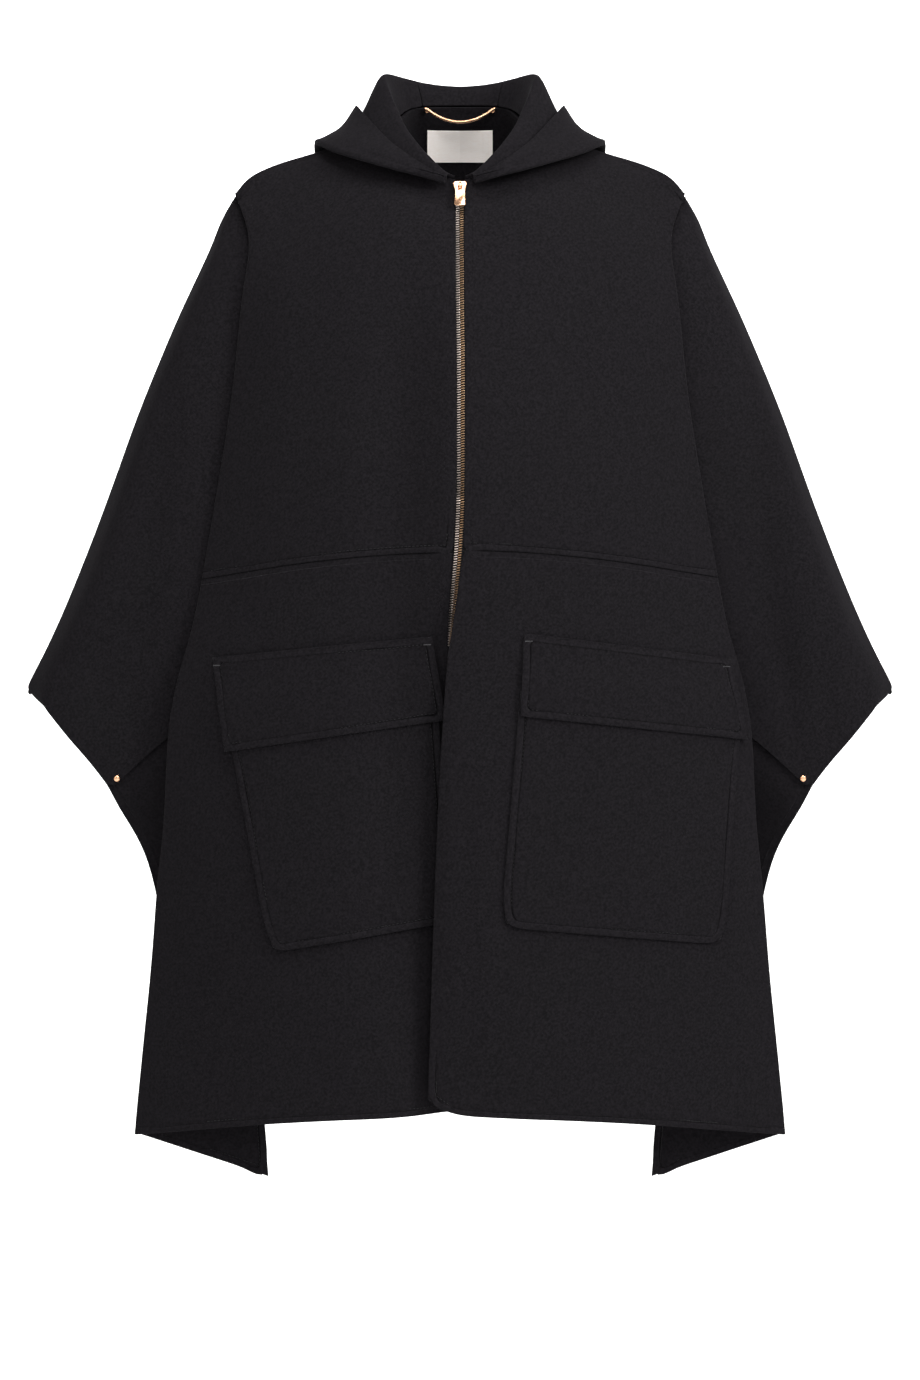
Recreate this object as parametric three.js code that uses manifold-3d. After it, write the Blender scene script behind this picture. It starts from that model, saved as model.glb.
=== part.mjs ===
// Hooded wool cape with a zip, worn shape with no wearer. Millimetres, +Z up, front towards -Y.
// The origin is the middle of the neck's base, where the wearer's shoulders carry the cape.
// Right and left are the wearer's: the right side has negative X.
import * as THREE from "three";
import { mergeVertices } from "three/addons/utils/BufferGeometryUtils.js";
import Module from "manifold-3d";

// Cloth and gaps
const CLOTH = 2.5; // wall of the double wool cloth
const SEAM = 0.3; // gap between two pieces at a seam
const HALF_SEAM = SEAM / 2;
const FOLD_R = 5; // outer radius of the cloth where it turns back at the body fold
const FOLD_TILT = 0.7; // radians between the fold's first normal and straight ahead
const FOLD_REACH = 40; // width of the stretch that leads into the body fold

// Heights of the corners
const SHOULDER_Z = -34; // where the body fold leaves the shoulder line
const SHOULDER_X = 232;
const YOKE_Z = -150; // below this the rows are level
const TIP_Z = -535; // wing tip
const PLEAT_END_Z = -560; // underarm seam begins here, hidden in the pleat
const STUD_Z = -636; // wing's lower corner, where the stud is
const BACK_HEM_Z = -975;
const ZIP_TOP_Z = -30;
const ZIP_END_Z = -505;
const CHAIN_TOP_Z = -34;
const ZIP_STEPS = 30;

// Top line of the fronts: front neckline, then shoulder, by half width x
const NECK_SIDE_X = 68; // where the shoulder seam meets the neck
const NECK_EDGE_X = 4.6; // front neckline begins here, beside the zip
const NECK_FRONT = [
  { x: 0, y: -75, z: -27 },
  { x: 12, y: -73, z: -24 },
  { x: 24, y: -67, z: -16 },
  { x: 42, y: -52, z: 4 },
  { x: 56, y: -30, z: 26 },
  { x: 68, y: 0, z: 43 },
];
const NECK_BACK = [
  { x: 0, y: 60, z: 69 },
  { x: 24, y: 57, z: 68.6 },
  { x: 42, y: 49, z: 66.5 },
  { x: 56, y: 34, z: 60.5 },
  { x: 68, y: 0, z: 43 },
];
const SHOULDER = [
  { x: 68, z: 43 },
  { x: 110, z: 27 },
  { x: 150, z: 11.5 },
  { x: 177, z: 4 },
  { x: 201, z: -6 },
  { x: 218, z: -17 },
  { x: 232, z: -34 },
];

// Outline seen from the front, by height: over-arm line, cuff and the back's free edge
const OUTLINE = [
  { z: -34, x: 232 },
  { z: -57, x: 245 },
  { z: -88, x: 257 },
  { z: -139, x: 281 },
  { z: -190, x: 303 },
  { z: -242, x: 325 },
  { z: -293, x: 343 },
  { z: -345, x: 362 },
  { z: -396, x: 381 },
  { z: -448, x: 402 },
  { z: -489, x: 420 },
  { z: -535, x: 443 },
];
const CUFF = [
  { z: -535, x: 443 },
  { z: -550, x: 430 },
  { z: -571, x: 413 },
  { z: -591, x: 397 },
  { z: -612, x: 379 },
  { z: -636, x: 361 },
];
const BACK_EDGE = [
  { z: -636, x: 361 },
  { z: -652, x: 353 },
  { z: -673, x: 343 },
  { z: -693, x: 332 },
  { z: -714, x: 325 },
  { z: -755, x: 314 },
  { z: -850, x: 303 },
  { z: -975, x: 295 },
];

// Body fold of the fronts, by height: its edge seen from the front, its depth and the cloth behind it
const BODY_FOLD = [
  { z: -34, x: 231, y: -9, turned: 12 },
  { z: -51, x: 223, y: -22, turned: 18 },
  { z: -68, x: 216, y: -31, turned: 24 },
  { z: -101, x: 215, y: -43, turned: 30 },
  { z: -138, x: 221, y: -48, turned: 34 },
  { z: -231, x: 230, y: -52, turned: 36 },
  { z: -360, x: 250, y: -54, turned: 34 },
  { z: -452, x: 266, y: -55, turned: 30 },
  { z: -495, x: 275, y: -56, turned: 28 },
  { z: -536, x: 288, y: -56, turned: 30 },
  { z: -577, x: 295, y: -57, turned: 34 },
  { z: -636, x: 298, y: -57, turned: 49 },
  { z: -667, x: 299, y: -58, turned: 57 },
  { z: -743, x: 307, y: -58, turned: 77 },
  { z: -804, x: 311, y: -59, turned: 92 },
  { z: -905, x: 321, y: -60, turned: 119 },
  { z: -989, x: 329, y: -60, turned: 135 },
];

// Depth at the middle of the body, by height
const FRONT_DEPTH = [
  { z: 43, y: -40 },
  { z: -27, y: -78 },
  { z: -75, y: -98 },
  { z: -130, y: -114 },
  { z: -200, y: -128 },
  { z: -300, y: -140 },
  { z: -400, y: -146 },
  { z: -600, y: -152 },
  { z: -960, y: -160 },
];
const BACK_DEPTH = [
  { z: 69, y: 62 },
  { z: 30, y: 82 },
  { z: -30, y: 98 },
  { z: -100, y: 110 },
  { z: -200, y: 115 },
  { z: -350, y: 117 },
  { z: -500, y: 122 },
  { z: -750, y: 134 },
  { z: -975, y: 146 },
];

// Centre edges of the two fronts, by height: x of each edge, and how far the right one lies behind
const CENTRE_EDGES = [
  { z: -20, right: -4.6, left: 4.6, behind: 0 },
  { z: -110, right: -4.8, left: 4.4, behind: 1 },
  { z: -230, right: -3.6, left: 5.6, behind: 2 },
  { z: -330, right: -3.6, left: 5.4, behind: 3 },
  { z: -400, right: -6, left: 3, behind: 6 },
  { z: -440, right: -9, left: -1.2, behind: 9 },
  { z: -470, right: -10.5, left: -6, behind: 12 },
  { z: -505, right: -10, left: -12, behind: 16 },
  { z: -550, right: -6, left: -15.5, behind: 21 },
  { z: -620, right: -1, left: -20, behind: 24 },
  { z: -780, right: 5, left: -26.5, behind: 31 },
  { z: -960, right: 10, left: -32, behind: 40 },
];
const UPPER_ROWS = 12;
const LOWER_ROWS = 11;
const ROWS_CROWD = 1.25; // power by which the upper front's rows crowd towards its top
const FOLD_STEPS = 5; // round the body fold
const BEHIND_REACH = 48; // how far from its edge the right front begins to turn back

// Waist seam and front hem, by half width
const WAIST = [
  { x: 0, z: -402 },
  { x: 60, z: -404 },
  { x: 115, z: -408 },
  { x: 165, z: -413 },
  { x: 210, z: -419 },
  { x: 262, z: -426 },
];
const FRONT_HEM = [
  { x: 0, z: -957 },
  { x: 60, z: -961 },
  { x: 130, z: -965 },
  { x: 190, z: -970 },
  { x: 260, z: -979 },
  { x: 329, z: -989 },
];
const WAIST_SIDE_X = 262;
const HEM_SIDE_X = 329;
const HEM_SIDE_Z = -989;
const RIGHT_WAIST_DROP = 2; // the right half's waist seam lies this much lower
const CORNER_SHARE = 0.1; // width of that corner, as a share of the front
const FLAP_CORNER_Z = -1032; // inner corner of the turned-back front at the hem
const HEM_CORNER = 14; // how far the left front's lower corner is rounded up

// Pockets and flaps: corners on the front seen from ahead, top then bottom, outer then inner
const POCKETS = {
  right: {
    bag: [
      { x: -233, z: -566 }, { x: -23.6, z: -541 },
      { x: -188, z: -801 }, { x: -8, z: -769 },
    ],
    flap: [
      { x: -247, z: -508 }, { x: -28, z: -487 },
      { x: -232, z: -602 }, { x: -15, z: -570 },
    ],
  },
  left: {
    bag: [
      { x: 282, z: -566 }, { x: 59.5, z: -541 },
      { x: 264, z: -795 }, { x: 40, z: -773 },
    ],
    flap: [
      { x: 272, z: -509 }, { x: 63, z: -484 },
      { x: 287, z: -590 }, { x: 59, z: -566 },
    ],
  },
};
const POCKET_WALL = 2.5;
const POCKET_CORNER = 16; // radius of the bag's lower corners

// Hood, worn down, as a ring of sections from the zip's top round to the middle of the back.
// roll: top where the stand turns over; low: bottom of the trough; edge: the free face edge;
// puff: how far the cloth swells between them; crown: how far the face stands out at its middle;
// sink: how far the layer below the face is pressed down.
const HOOD = [
  { roll: [12, -80, -21], low: [16, -86, -29], edge: [15, -86, -24], puff: 1, crown: 1, sink: 0 },
  { roll: [24, -76, -10], low: [40, -87, -22.5], edge: [33, -87, -16], puff: 2, crown: 1, sink: 0 },
  { roll: [44, -60, 14], low: [72, -82, -13.5], edge: [58, -70, 2], puff: 4, crown: 2, sink: 0 },
  { roll: [60, -34, 40], low: [106, -62, -1], edge: [78, -45, 22], puff: 5, crown: 2, sink: 0 },
  { roll: [72, -8, 74], low: [138, -28, 13], edge: [97, -14, 48], puff: 6, crown: -1, sink: 1 },
  { roll: [78, 16, 96], low: [149, 22, 19.5], edge: [106, 18, 63], puff: 8, crown: -4, sink: 4 },
  { roll: [60, 48, 98], low: [138, 86, -62], edge: [98, 66, 56], puff: 16, crown: 7, sink: 0 },
  { roll: [34, 66, 95], low: [88, 128, -150], edge: [66, 108, 46], puff: 24, crown: 12, sink: 0 },
  { roll: [0, 71, 92.5], low: [0, 142, -196], edge: [0, 128, 36], puff: 28, crown: 14, sink: 0 },
];
const HOOD_POINTS = 18; // steps across the hood from neck seam to free edge
const STAND_LIFT_FRONT = CLOTH + 1.4; // the stand's foot over the neckline at the front
const STAND_LIFT_BACK = 3.1; // and at the back
const STAND_RISES = { from: 0.12, over: 0.3 }; // stretch of the ring in which it passes inside the neckline
const STAND_INSIDE = CLOTH - 0.5; // how far it passes inside
const STAND_HOLLOW = 1.5; // how far the stand is drawn in below the roll
const ROLL_TURN = 8; // widest reach of the roll's outer side
const ROLL_DROP = 0.8; // its drop, as a share of its reach
const UNDER = { out: 0.7, down: 0.9, spare: 3 }; // middle of the layer below the face, by the puff
const LOOP = { spare: 3, swell: 0.6, up: 0.5 }; // inner side of the fold at the bottom of the trough
const LOOP_RISE = 5; // outer side of that fold, up along the face
const LOOP_OUT = 0.8;
const HOOD_SEAM_GAP = 0.004; // as a share of the ring
const HOOD_CLEAR = 2.5; // room between hood and fronts
const BAG_CLEAR = 6; // room between the hood's bag and the back
const BAG_SPARE = 1.6; // share of that room that a point gets, because the faces between points are flat
const HOOD_SPARE = 1.3;
const AWAY_FROM_SEAM = 4; // a point this far before or behind the shoulder seam is kept clear
const BELOW_TOP = 2; // and this far below the top line

// Zip
const CHAIN_WIDTH = 7;
const CHAIN_THICK = 1.6;
const TAPE_WIDTH = 14;
const TAPE_THICK = 0.8;
const SLIDER_TOP = 6; // above the pull's axis
const SLIDER_LENGTH = 16;
const SLIDER_WIDTH = 14;
const SLIDER_DEPTH = 4;
const ZIP_STAND_OFF = 1.4; // the slider stands this far off the edges of the fronts
const CROWN_OUTER = 4.2;
const CROWN_INNER = 2.9;
const CROWN_WIDTH = 2.6;
const PULL_AXIS_Z = -35;
const PULL_AXIS_OUT = 1.7; // the hinge axis lies this far in front of the slider's face
const PULL_LENGTH = 24;
const PULL_WIDTH = 11.5;
const PULL_NECK = 8.5;
const PULL_THICK = 1.4;
const PULL_BAR = 1.5;
const PULL_HOLE = 4.2;
const PULL_HOLE_LOW = 6.4;
const STOP_WIDTH = 3;
const STOP_DEPTH = 1.8;
const STOP_HEIGHT = 3.5;

// Trim
const STUD_R = 3.4;
const STUD_X = 350;
const STUD_POINT_Z = -630;
const CAP_R = 7.5;
const CAP_X = 334;
const CAP_Z = -660;
const HANGER_HALF = 36;
const HANGER_Y = 46.1;
const HANGER_SAG = 14.5;
const HANGER_R = 1.8;
const HANGER_STUD_R = 2.6;
const HANGER_STUD_HEIGHT = 3.2;
const LABEL_WIDTH = 70;
const LABEL_HEIGHT = 31;
const LABEL_THICK = 0.6;
const LABEL_TOP_Z = 47;
const LABEL_CLEAR = 2.1;

// How the cloth of front and back rolls over to the neckline and the shoulder seam
const FRONT_ROLL = { neck: 70, shoulder: 110 }; // height of the roll at each
const BACK_ROLL = { neck: 60, shoulder: 120 };
const ROLL_WIDENS = 120; // half width at which the roll reaches its height at the shoulder
const ROLL_ROUNDS = 80; // half width at which it becomes a quarter round
const FRONT_FULLNESS = 2.2; // power of the front's curve from the middle to the fold

// Wings and the back over them
const ARM_SLOPE = 0.49; // the over-arm line runs on past the tip with this slope, x by z
const WING_ROUND = 75; // how far from the over-arm line the wing's front begins to round
const WING_COLUMNS = 8;
const WING_CROWD = 0.85; // power by which its points crowd towards the over-arm line
const WING_GAP = { top: 0.6, low: 2.6, from: -120, over: 50 }; // room between body fold and wing, by height
const CUFF_FLAT = { from: -470, share: 0.5 }; // the wing's front flattens to this share at the stud
const UNDERARM_REACH = 65; // how far round the underarm seam the back is drawn forward
const UNDERARM_CLEAR = 1.5; // room between the back and the wing's wall at that seam
const BACK_BODY = { beyondFold: 30, power: 2.4 }; // the back's curve over the body
const BACK_WING = { from: -100, over: 200, depth: 34 }; // the back's depth over the arms, by height
const BACK_BLEND = 22; // how softly body and wings run into each other
const BACK_ROUND = 60; // how far from the over-arm line the back begins to round
const BACK_SHOULDER_FADE = 120; // height in which the shoulder's roll ends
const FLAP_LIFT = POCKET_WALL + 0.6; // the flap's free part over its sewn top
const BAG_OUT = { right: POCKET_WALL + 1.4, left: POCKET_WALL + 0.6 }; // pocket's outer face over its front
const STUD_OUT = SEAM + 0.6;
const STUD_DOME = 2.4;
const CAP_OUT = 1.8;
const CAP_DOME = 2.2;
const HANGER_TOP_Z = 65.5;
const HANGER_STUD_Z = 63.4;
const DOME_RIM = 0.35; // share of a dome's height that is its upright rim
const DOME_TAPER = 0.98; // its radius above the rim, as a share of the base's
const CAP_STEPS = 18;
const HANGER_STUD_STEPS = 12;

const COLOURS = {
  cloth: { color: 0x17171a, roughness: 0.95, metalness: 0 },
  tape: { color: 0x101012, roughness: 0.9, metalness: 0 },
  metal: { color: 0xd9a679, roughness: 0.25, metalness: 1 },
  label: { color: 0xe9e2d6, roughness: 0.8, metalness: 0 },
};

const mix = (a, b, t) => a + (b - a) * t;
const clamp01 = (t) => Math.min(1, Math.max(0, t));
const quarterRound = (t) => Math.sqrt(1 - (1 - clamp01(t)) ** 2);

// How far the cloth has rolled over, 0 at the top line to 1 below the roll
function topRoll(form, half, drop) {
  const t = drop / mix(form.neck, form.shoulder, clamp01(half / ROLL_WIDENS));
  return mix(1 - (1 - clamp01(t)) ** 2, quarterRound(t), clamp01(half / ROLL_ROUNDS));
}

// Value of one column of a table at a place of another, on a smooth curve that doesn't overshoot
function read(table, column, key, at) {
  const rising = table[table.length - 1][key] > table[0][key];
  const rows = rising ? table : [...table].reverse();
  const last = rows.length - 1;
  if (at <= rows[0][key]) return rows[0][column];
  if (at >= rows[last][key]) return rows[last][column];
  let i = 0;
  while (at > rows[i + 1][key]) i += 1;
  const slope = (k) => (rows[k + 1][column] - rows[k][column]) / (rows[k + 1][key] - rows[k][key]);
  const tangent = (k) => {
    if (k === 0) return slope(0);
    if (k === last) return slope(last - 1);
    const [a, b] = [slope(k - 1), slope(k)];
    return a * b <= 0 ? 0 : (2 * a * b) / (a + b);
  };
  const span = rows[i + 1][key] - rows[i][key];
  const t = (at - rows[i][key]) / span;
  const [t2, t3] = [t * t, t * t * t];
  return (
    (2 * t3 - 3 * t2 + 1) * rows[i][column] +
    (t3 - 2 * t2 + t) * span * tangent(i) +
    (3 * t2 - 2 * t3) * rows[i + 1][column] +
    (t3 - t2) * span * tangent(i + 1)
  );
}

// A closed wall from a grid of points on its face: the other face lies the thickness behind it.
// adjust turns the direction of the thickness at a row and column, such as along a seam.
function wall(grid, thickness, facing, adjust = (n) => n) {
  const rows = grid.length;
  const columns = grid[0].length;
  const at = (i, j) => grid[Math.min(rows - 1, Math.max(0, i))][Math.min(columns - 1, Math.max(0, j))];
  const normal = (i, j) => {
    const down = at(i + 1, j).clone().sub(at(i - 1, j));
    const across = at(i, j + 1).clone().sub(at(i, j - 1));
    return adjust(down.cross(across).normalize(), i, j).normalize();
  };
  const middle = normal(rows >> 1, columns >> 1);
  const sign = middle.dot(facing) > 0 ? 1 : -1;
  const points = [];
  for (let i = 0; i < rows; i += 1)
    for (let j = 0; j < columns; j += 1) points.push(grid[i][j]);
  for (let i = 0; i < rows; i += 1)
    for (let j = 0; j < columns; j += 1)
      points.push(grid[i][j].clone().addScaledVector(normal(i, j), -sign * thickness));
  const faces = [];
  const outer = (i, j) => i * columns + j;
  const inner = (i, j) => rows * columns + i * columns + j;
  const quad = (a, b, c, d) => faces.push(a, b, c, a, c, d);
  for (let i = 0; i < rows - 1; i += 1)
    for (let j = 0; j < columns - 1; j += 1) {
      const falling = grid[i][j].distanceTo(grid[i + 1][j + 1]) <= grid[i + 1][j].distanceTo(grid[i][j + 1]);
      if (falling) {
        quad(outer(i, j), outer(i + 1, j), outer(i + 1, j + 1), outer(i, j + 1));
        quad(inner(i, j), inner(i, j + 1), inner(i + 1, j + 1), inner(i + 1, j));
      } else {
        quad(outer(i + 1, j), outer(i + 1, j + 1), outer(i, j + 1), outer(i, j));
        quad(inner(i + 1, j), inner(i, j), inner(i, j + 1), inner(i + 1, j + 1));
      }
    }
  for (let j = 0; j < columns - 1; j += 1) {
    quad(outer(0, j), outer(0, j + 1), inner(0, j + 1), inner(0, j));
    quad(outer(rows - 1, j), inner(rows - 1, j), inner(rows - 1, j + 1), outer(rows - 1, j + 1));
  }
  for (let i = 0; i < rows - 1; i += 1) {
    quad(outer(i, 0), inner(i, 0), inner(i + 1, 0), outer(i + 1, 0));
    quad(outer(i, columns - 1), outer(i + 1, columns - 1), inner(i + 1, columns - 1), inner(i, columns - 1));
  }
  return solid(points, faces);
}

// A geometry from points and triangles, turned so that its faces point out
function solid(points, faces) {
  let volume = 0;
  for (let k = 0; k < faces.length; k += 3) {
    const [a, b, c] = [points[faces[k]], points[faces[k + 1]], points[faces[k + 2]]];
    volume += a.dot(b.clone().cross(c));
  }
  if (volume < 0)
    for (let k = 0; k < faces.length; k += 3) [faces[k + 1], faces[k + 2]] = [faces[k + 2], faces[k + 1]];
  const geometry = new THREE.BufferGeometry();
  geometry.setAttribute("position", new THREE.Float32BufferAttribute(points.flatMap((p) => p.toArray()), 3));
  geometry.setIndex(faces);
  return geometry;
}

const cape = new THREE.Group();

function add(name, geometry, finish, parent = cape) {
  const mesh = new THREE.Mesh(geometry, new THREE.MeshStandardMaterial(COLOURS[finish]));
  mesh.name = name;
  parent.add(mesh);
  return mesh;
}

const vector = (x, y, z) => new THREE.Vector3(x, y, z);
const FORWARD = vector(0, -1, 0);
const BACKWARD = vector(0, 1, 0);
const SIDES = [
  { name: "right", sign: -1 },
  { name: "left", sign: 1 },
];

// Half width of the whole cape at a height
function outlineX(z) {
  if (z >= TIP_Z) return read(OUTLINE, "x", "z", z);
  if (z >= STUD_Z) return read(CUFF, "x", "z", z);
  return read(BACK_EDGE, "x", "z", z);
}

// Top line of fronts and back at a half width
function topLine(neck, x) {
  if (x <= NECK_SIDE_X) return { y: read(neck, "y", "x", x), z: read(neck, "z", "x", x) };
  return { y: 0, z: read(SHOULDER, "z", "x", x) };
}

// Where the front's face ends and the round of the body fold begins
function foldStart(z) {
  const x = read(BODY_FOLD, "x", "z", z) - FOLD_R;
  const y = read(BODY_FOLD, "y", "z", z);
  return { x: x + FOLD_R * Math.sin(FOLD_TILT), y: y - FOLD_R * Math.cos(FOLD_TILT), cx: x, cy: y };
}

// Depth of a front's face at x (signed) and z
function frontY(sign, x, z) {
  const half = Math.abs(x);
  const end = foldStart(Math.min(z, SHOULDER_Z));
  const middle = read(FRONT_DEPTH, "y", "z", z);
  const face = mix(end.y, middle, 1 - Math.min(1, half / end.x) ** FRONT_FULLNESS);
  const top = topLine(NECK_FRONT, Math.min(half, SHOULDER_X));
  let y = top.y + (face - top.y) * topRoll(FRONT_ROLL, half, top.z - z);
  // the last stretch meets the body fold
  y = mix(y, face, clamp01((half - end.x + FOLD_REACH) / FOLD_REACH));
  if (sign < 0) {
    const edge = read(CENTRE_EDGES, "right", "z", z);
    const behind = read(CENTRE_EDGES, "behind", "z", z);
    y += behind * Math.exp(-(((x - edge) / BEHIND_REACH) ** 2));
  }
  return y;
}

function frontPoint(sign, x, z, out = 0) {
  const p = vector(x, frontY(sign, x, z), z);
  if (!out) return p;
  const e = 2;
  const dx = frontY(sign, x + e, z) - frontY(sign, x - e, z);
  const dz = frontY(sign, x, z + e) - frontY(sign, x, z - e);
  const normal = vector(dx / (2 * e), -1, dz / (2 * e)).normalize();
  return p.addScaledVector(normal, out);
}

// One row of a front from the centre edge to the end of the turned-back cloth
function frontRow(side, shares, zAt) {
  const sign = side.sign;
  const row = [];
  const zFold = zAt(1);
  const end = foldStart(zFold);
  const edgeOf = (z) => read(CENTRE_EDGES, side.name, "z", z);
  for (const s of shares) {
    const z = zAt(s);
    const limit = foldStart(Math.min(z, SHOULDER_Z)).x * sign;
    const x = mix(edgeOf(z), mix(limit, end.x * sign, s), s);
    row.push(s === 1 ? vector(end.x * sign, end.y, zFold) : frontPoint(sign, x, z));
  }
  for (let k = 1; k <= FOLD_STEPS; k += 1) {
    const angle = mix(FOLD_TILT, Math.PI, k / FOLD_STEPS);
    const x = end.cx + FOLD_R * Math.sin(angle);
    row.push(vector(x * sign, end.cy - FOLD_R * Math.cos(angle), zFold));
  }
  return row;
}

// The cloth behind the body fold, added to a row of a front
function addTurned(row, side, z, columns, zDrop = 0) {
  const end = foldStart(z);
  const turned = read(BODY_FOLD, "turned", "z", z) - FOLD_R;
  for (let k = 1; k <= columns; k += 1) {
    const t = k / columns;
    row.push(vector((end.cx - turned * t) * side.sign, end.cy + FOLD_R, z + zDrop * t));
  }
}

const FRONT_TOP_X = foldStart(SHOULDER_Z).x;
// The neck's side, as a share of the front, among the places where its rows have points
const NECK_SHARE = (NECK_SIDE_X - NECK_EDGE_X) / (FRONT_TOP_X - NECK_EDGE_X);
const FRONT_SHARES = [
  0, 0.05, 0.11, 0.17, 0.225, NECK_SHARE, 0.36, 0.44,
  0.53, 0.62, 0.71, 0.79, 0.86, 0.92, 0.965, 1,
];
const frontTopX = (s) => mix(NECK_EDGE_X, FRONT_TOP_X, s);
const waistZ = (s, sign) => read(WAIST, "z", "x", s * WAIST_SIDE_X) - (sign < 0 ? RIGHT_WAIST_DROP : 0);

for (const side of SIDES) {
  // Upper front: neckline and shoulder down to the waist seam
  const upper = [];
  for (let i = 0; i <= UPPER_ROWS; i += 1) {
    const v = (i / UPPER_ROWS) ** ROWS_CROWD;
    const zAt = (s) => {
      const top = topLine(NECK_FRONT, frontTopX(s)).z;
      return mix(top - HALF_SEAM, waistZ(s, side.sign) + HALF_SEAM, v);
    };
    const row = frontRow(side, FRONT_SHARES, zAt);
    addTurned(row, side, zAt(1), 3);
    upper.push(row);
  }
  const shoulderAt = FRONT_SHARES.indexOf(NECK_SHARE);
  const upSeam = (n, i, j) => (i === 0 && j >= shoulderAt ? n.setY(0) : n);
  add(`upper_front_${side.name}`, wall(upper, CLOTH, FORWARD, upSeam), "cloth");

  // Lower front: waist seam to hem, with the cloth that turns back at the side
  const lower = [];
  for (let i = 0; i <= LOWER_ROWS; i += 1) {
    const v = i / LOWER_ROWS;
    const corner = (s) => (side.sign > 0 ? HEM_CORNER * clamp01(1 - s / CORNER_SHARE) ** 2 : 0);
    const hemZ = (s) => read(FRONT_HEM, "z", "x", s * HEM_SIDE_X) + corner(s);
    const zAt = (s) => mix(waistZ(s, side.sign) - HALF_SEAM, hemZ(s), v);
    const row = frontRow(side, FRONT_SHARES, zAt);
    addTurned(row, side, zAt(1), 5, (FLAP_CORNER_Z - HEM_SIDE_Z) * v ** 3);
    lower.push(row);
  }
  add(`lower_front_${side.name}`, wall(lower, CLOTH, FORWARD), "cloth");
}

// Underarm seam, from its hidden start in the pleat to the stud
const pleatX = (z) => foldStart(z).cx - (read(BODY_FOLD, "turned", "z", z) - FOLD_R);
const UNDERARM = [
  { z: PLEAT_END_Z, x: pleatX(PLEAT_END_Z) },
  { z: -589, x: 299 },
  { z: STUD_Z, x: 351 },
];

// Half width of the over-arm line, which runs on straight past the tip
const armX = (z) => (z >= TIP_Z ? outlineX(z) : outlineX(TIP_Z) + (TIP_Z - z) * ARM_SLOPE);

// Depth of a wing's front layer
function wingY(x, z) {
  const spare = mix(WING_GAP.top, WING_GAP.low, clamp01((z - WING_GAP.from) / WING_GAP.over));
  const behindFold = read(BODY_FOLD, "y", "z", z) + FOLD_R + SEAM + spare;
  const room = outlineX(Math.max(z, TIP_Z)) - pleatX(Math.max(z, PLEAT_END_Z));
  const round = quarterRound((armX(z) - x) / Math.min(WING_ROUND, Math.max(6, 0.6 * room)));
  const fade = mix(1, CUFF_FLAT.share, clamp01((CUFF_FLAT.from - z) / (CUFF_FLAT.from - STUD_Z)));
  return Math.min(-HALF_SEAM, behindFold * round * fade);
}

const WING_HEIGHTS = [
  -37, -48, -62, -82, -110, -150, -200, -260, -325,
  -390, -445, -495, TIP_Z, PLEAT_END_Z, -589, -612, STUD_Z,
];
for (const side of SIDES) {
  const rows = [];
  for (const z of WING_HEIGHTS) {
    const inner = z >= PLEAT_END_Z ? pleatX(z) : read(UNDERARM, "x", "z", z);
    const outer = outlineX(z);
    const row = [];
    for (let j = 0; j <= WING_COLUMNS; j += 1) {
      const x = mix(inner, outer, (j / WING_COLUMNS) ** WING_CROWD);
      row.push(vector(x * side.sign, wingY(x, z), z));
    }
    rows.push(row);
  }
  const armSeam = (n, i, j) => (j === WING_COLUMNS && WING_HEIGHTS[i] >= TIP_Z ? n.setY(0) : n);
  add(`wing_front_${side.name}`, wall(rows, CLOTH, FORWARD, armSeam), "cloth");
}

// Depth of the back, by half width and height
function backY(x, z) {
  const half = Math.abs(x);
  const outer = outlineX(Math.min(z, SHOULDER_Z));
  const top = topLine(NECK_BACK, Math.min(half, SHOULDER_X));
  const middle = read(BACK_DEPTH, "y", "z", z);
  const bodyWidth = read(BODY_FOLD, "x", "z", Math.min(z, SHOULDER_Z)) + BACK_BODY.beyondFold;
  const body = middle * (1 - Math.min(1.4, half / bodyWidth) ** BACK_BODY.power);
  const wing = BACK_WING.depth * clamp01((BACK_WING.from - z) / BACK_WING.over);
  const both = 0.5 * (body + wing + Math.sqrt((body - wing) ** 2 + BACK_BLEND ** 2));
  const armSide = z >= SHOULDER_Z ? outer : armX(z);
  let y = both * quarterRound((armSide - half) / BACK_ROUND);
  const roll = topRoll(BACK_ROLL, half, top.z - z);
  y = top.y + (y - top.y) * mix(roll, 1, clamp01((SHOULDER_Z - z) / BACK_SHOULDER_FADE));
  // the underarm seam draws the back forward
  const a = new THREE.Vector2(UNDERARM[0].x, UNDERARM[0].z);
  const b = new THREE.Vector2(UNDERARM[2].x, UNDERARM[2].z);
  const line = b.clone().sub(a);
  const along = clamp01(new THREE.Vector2(half, z).sub(a).dot(line) / line.lengthSq());
  const near = a.clone().addScaledVector(line, along);
  const away = near.distanceTo(new THREE.Vector2(half, z));
  const pull = Math.exp(-((away / UNDERARM_REACH) ** 2));
  const seamY = wingY(near.x, near.y) + 2 * CLOTH + SEAM + UNDERARM_CLEAR; // behind the wing's own wall
  return mix(y, seamY, pull);
}

const BACK_NECK_SHARE = NECK_SIDE_X / SHOULDER_X;
const HOOD_SEAM_SHARE = 0.175; // the hood's centre strip is this wide at the neck, as a share of the back
const BACK_SHARES = [
  0, 0.06, 0.12, HOOD_SEAM_SHARE, 0.235, BACK_NECK_SHARE, 0.39, 0.49,
  0.58, 0.66, 0.74, 0.81, 0.875, 0.93, 0.97, 1,
];
const YOKE_ROWS = 6;
const YOKE_CROWD = 1.4; // power by which the yoke's rows crowd towards the neck
const BACK_HEIGHTS = [
  -200, -260, -320, -380, -430, -485, TIP_Z, -562, -589, -612,
  STUD_Z, -660, -690, -730, -800, -890, BACK_HEM_Z,
];

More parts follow.
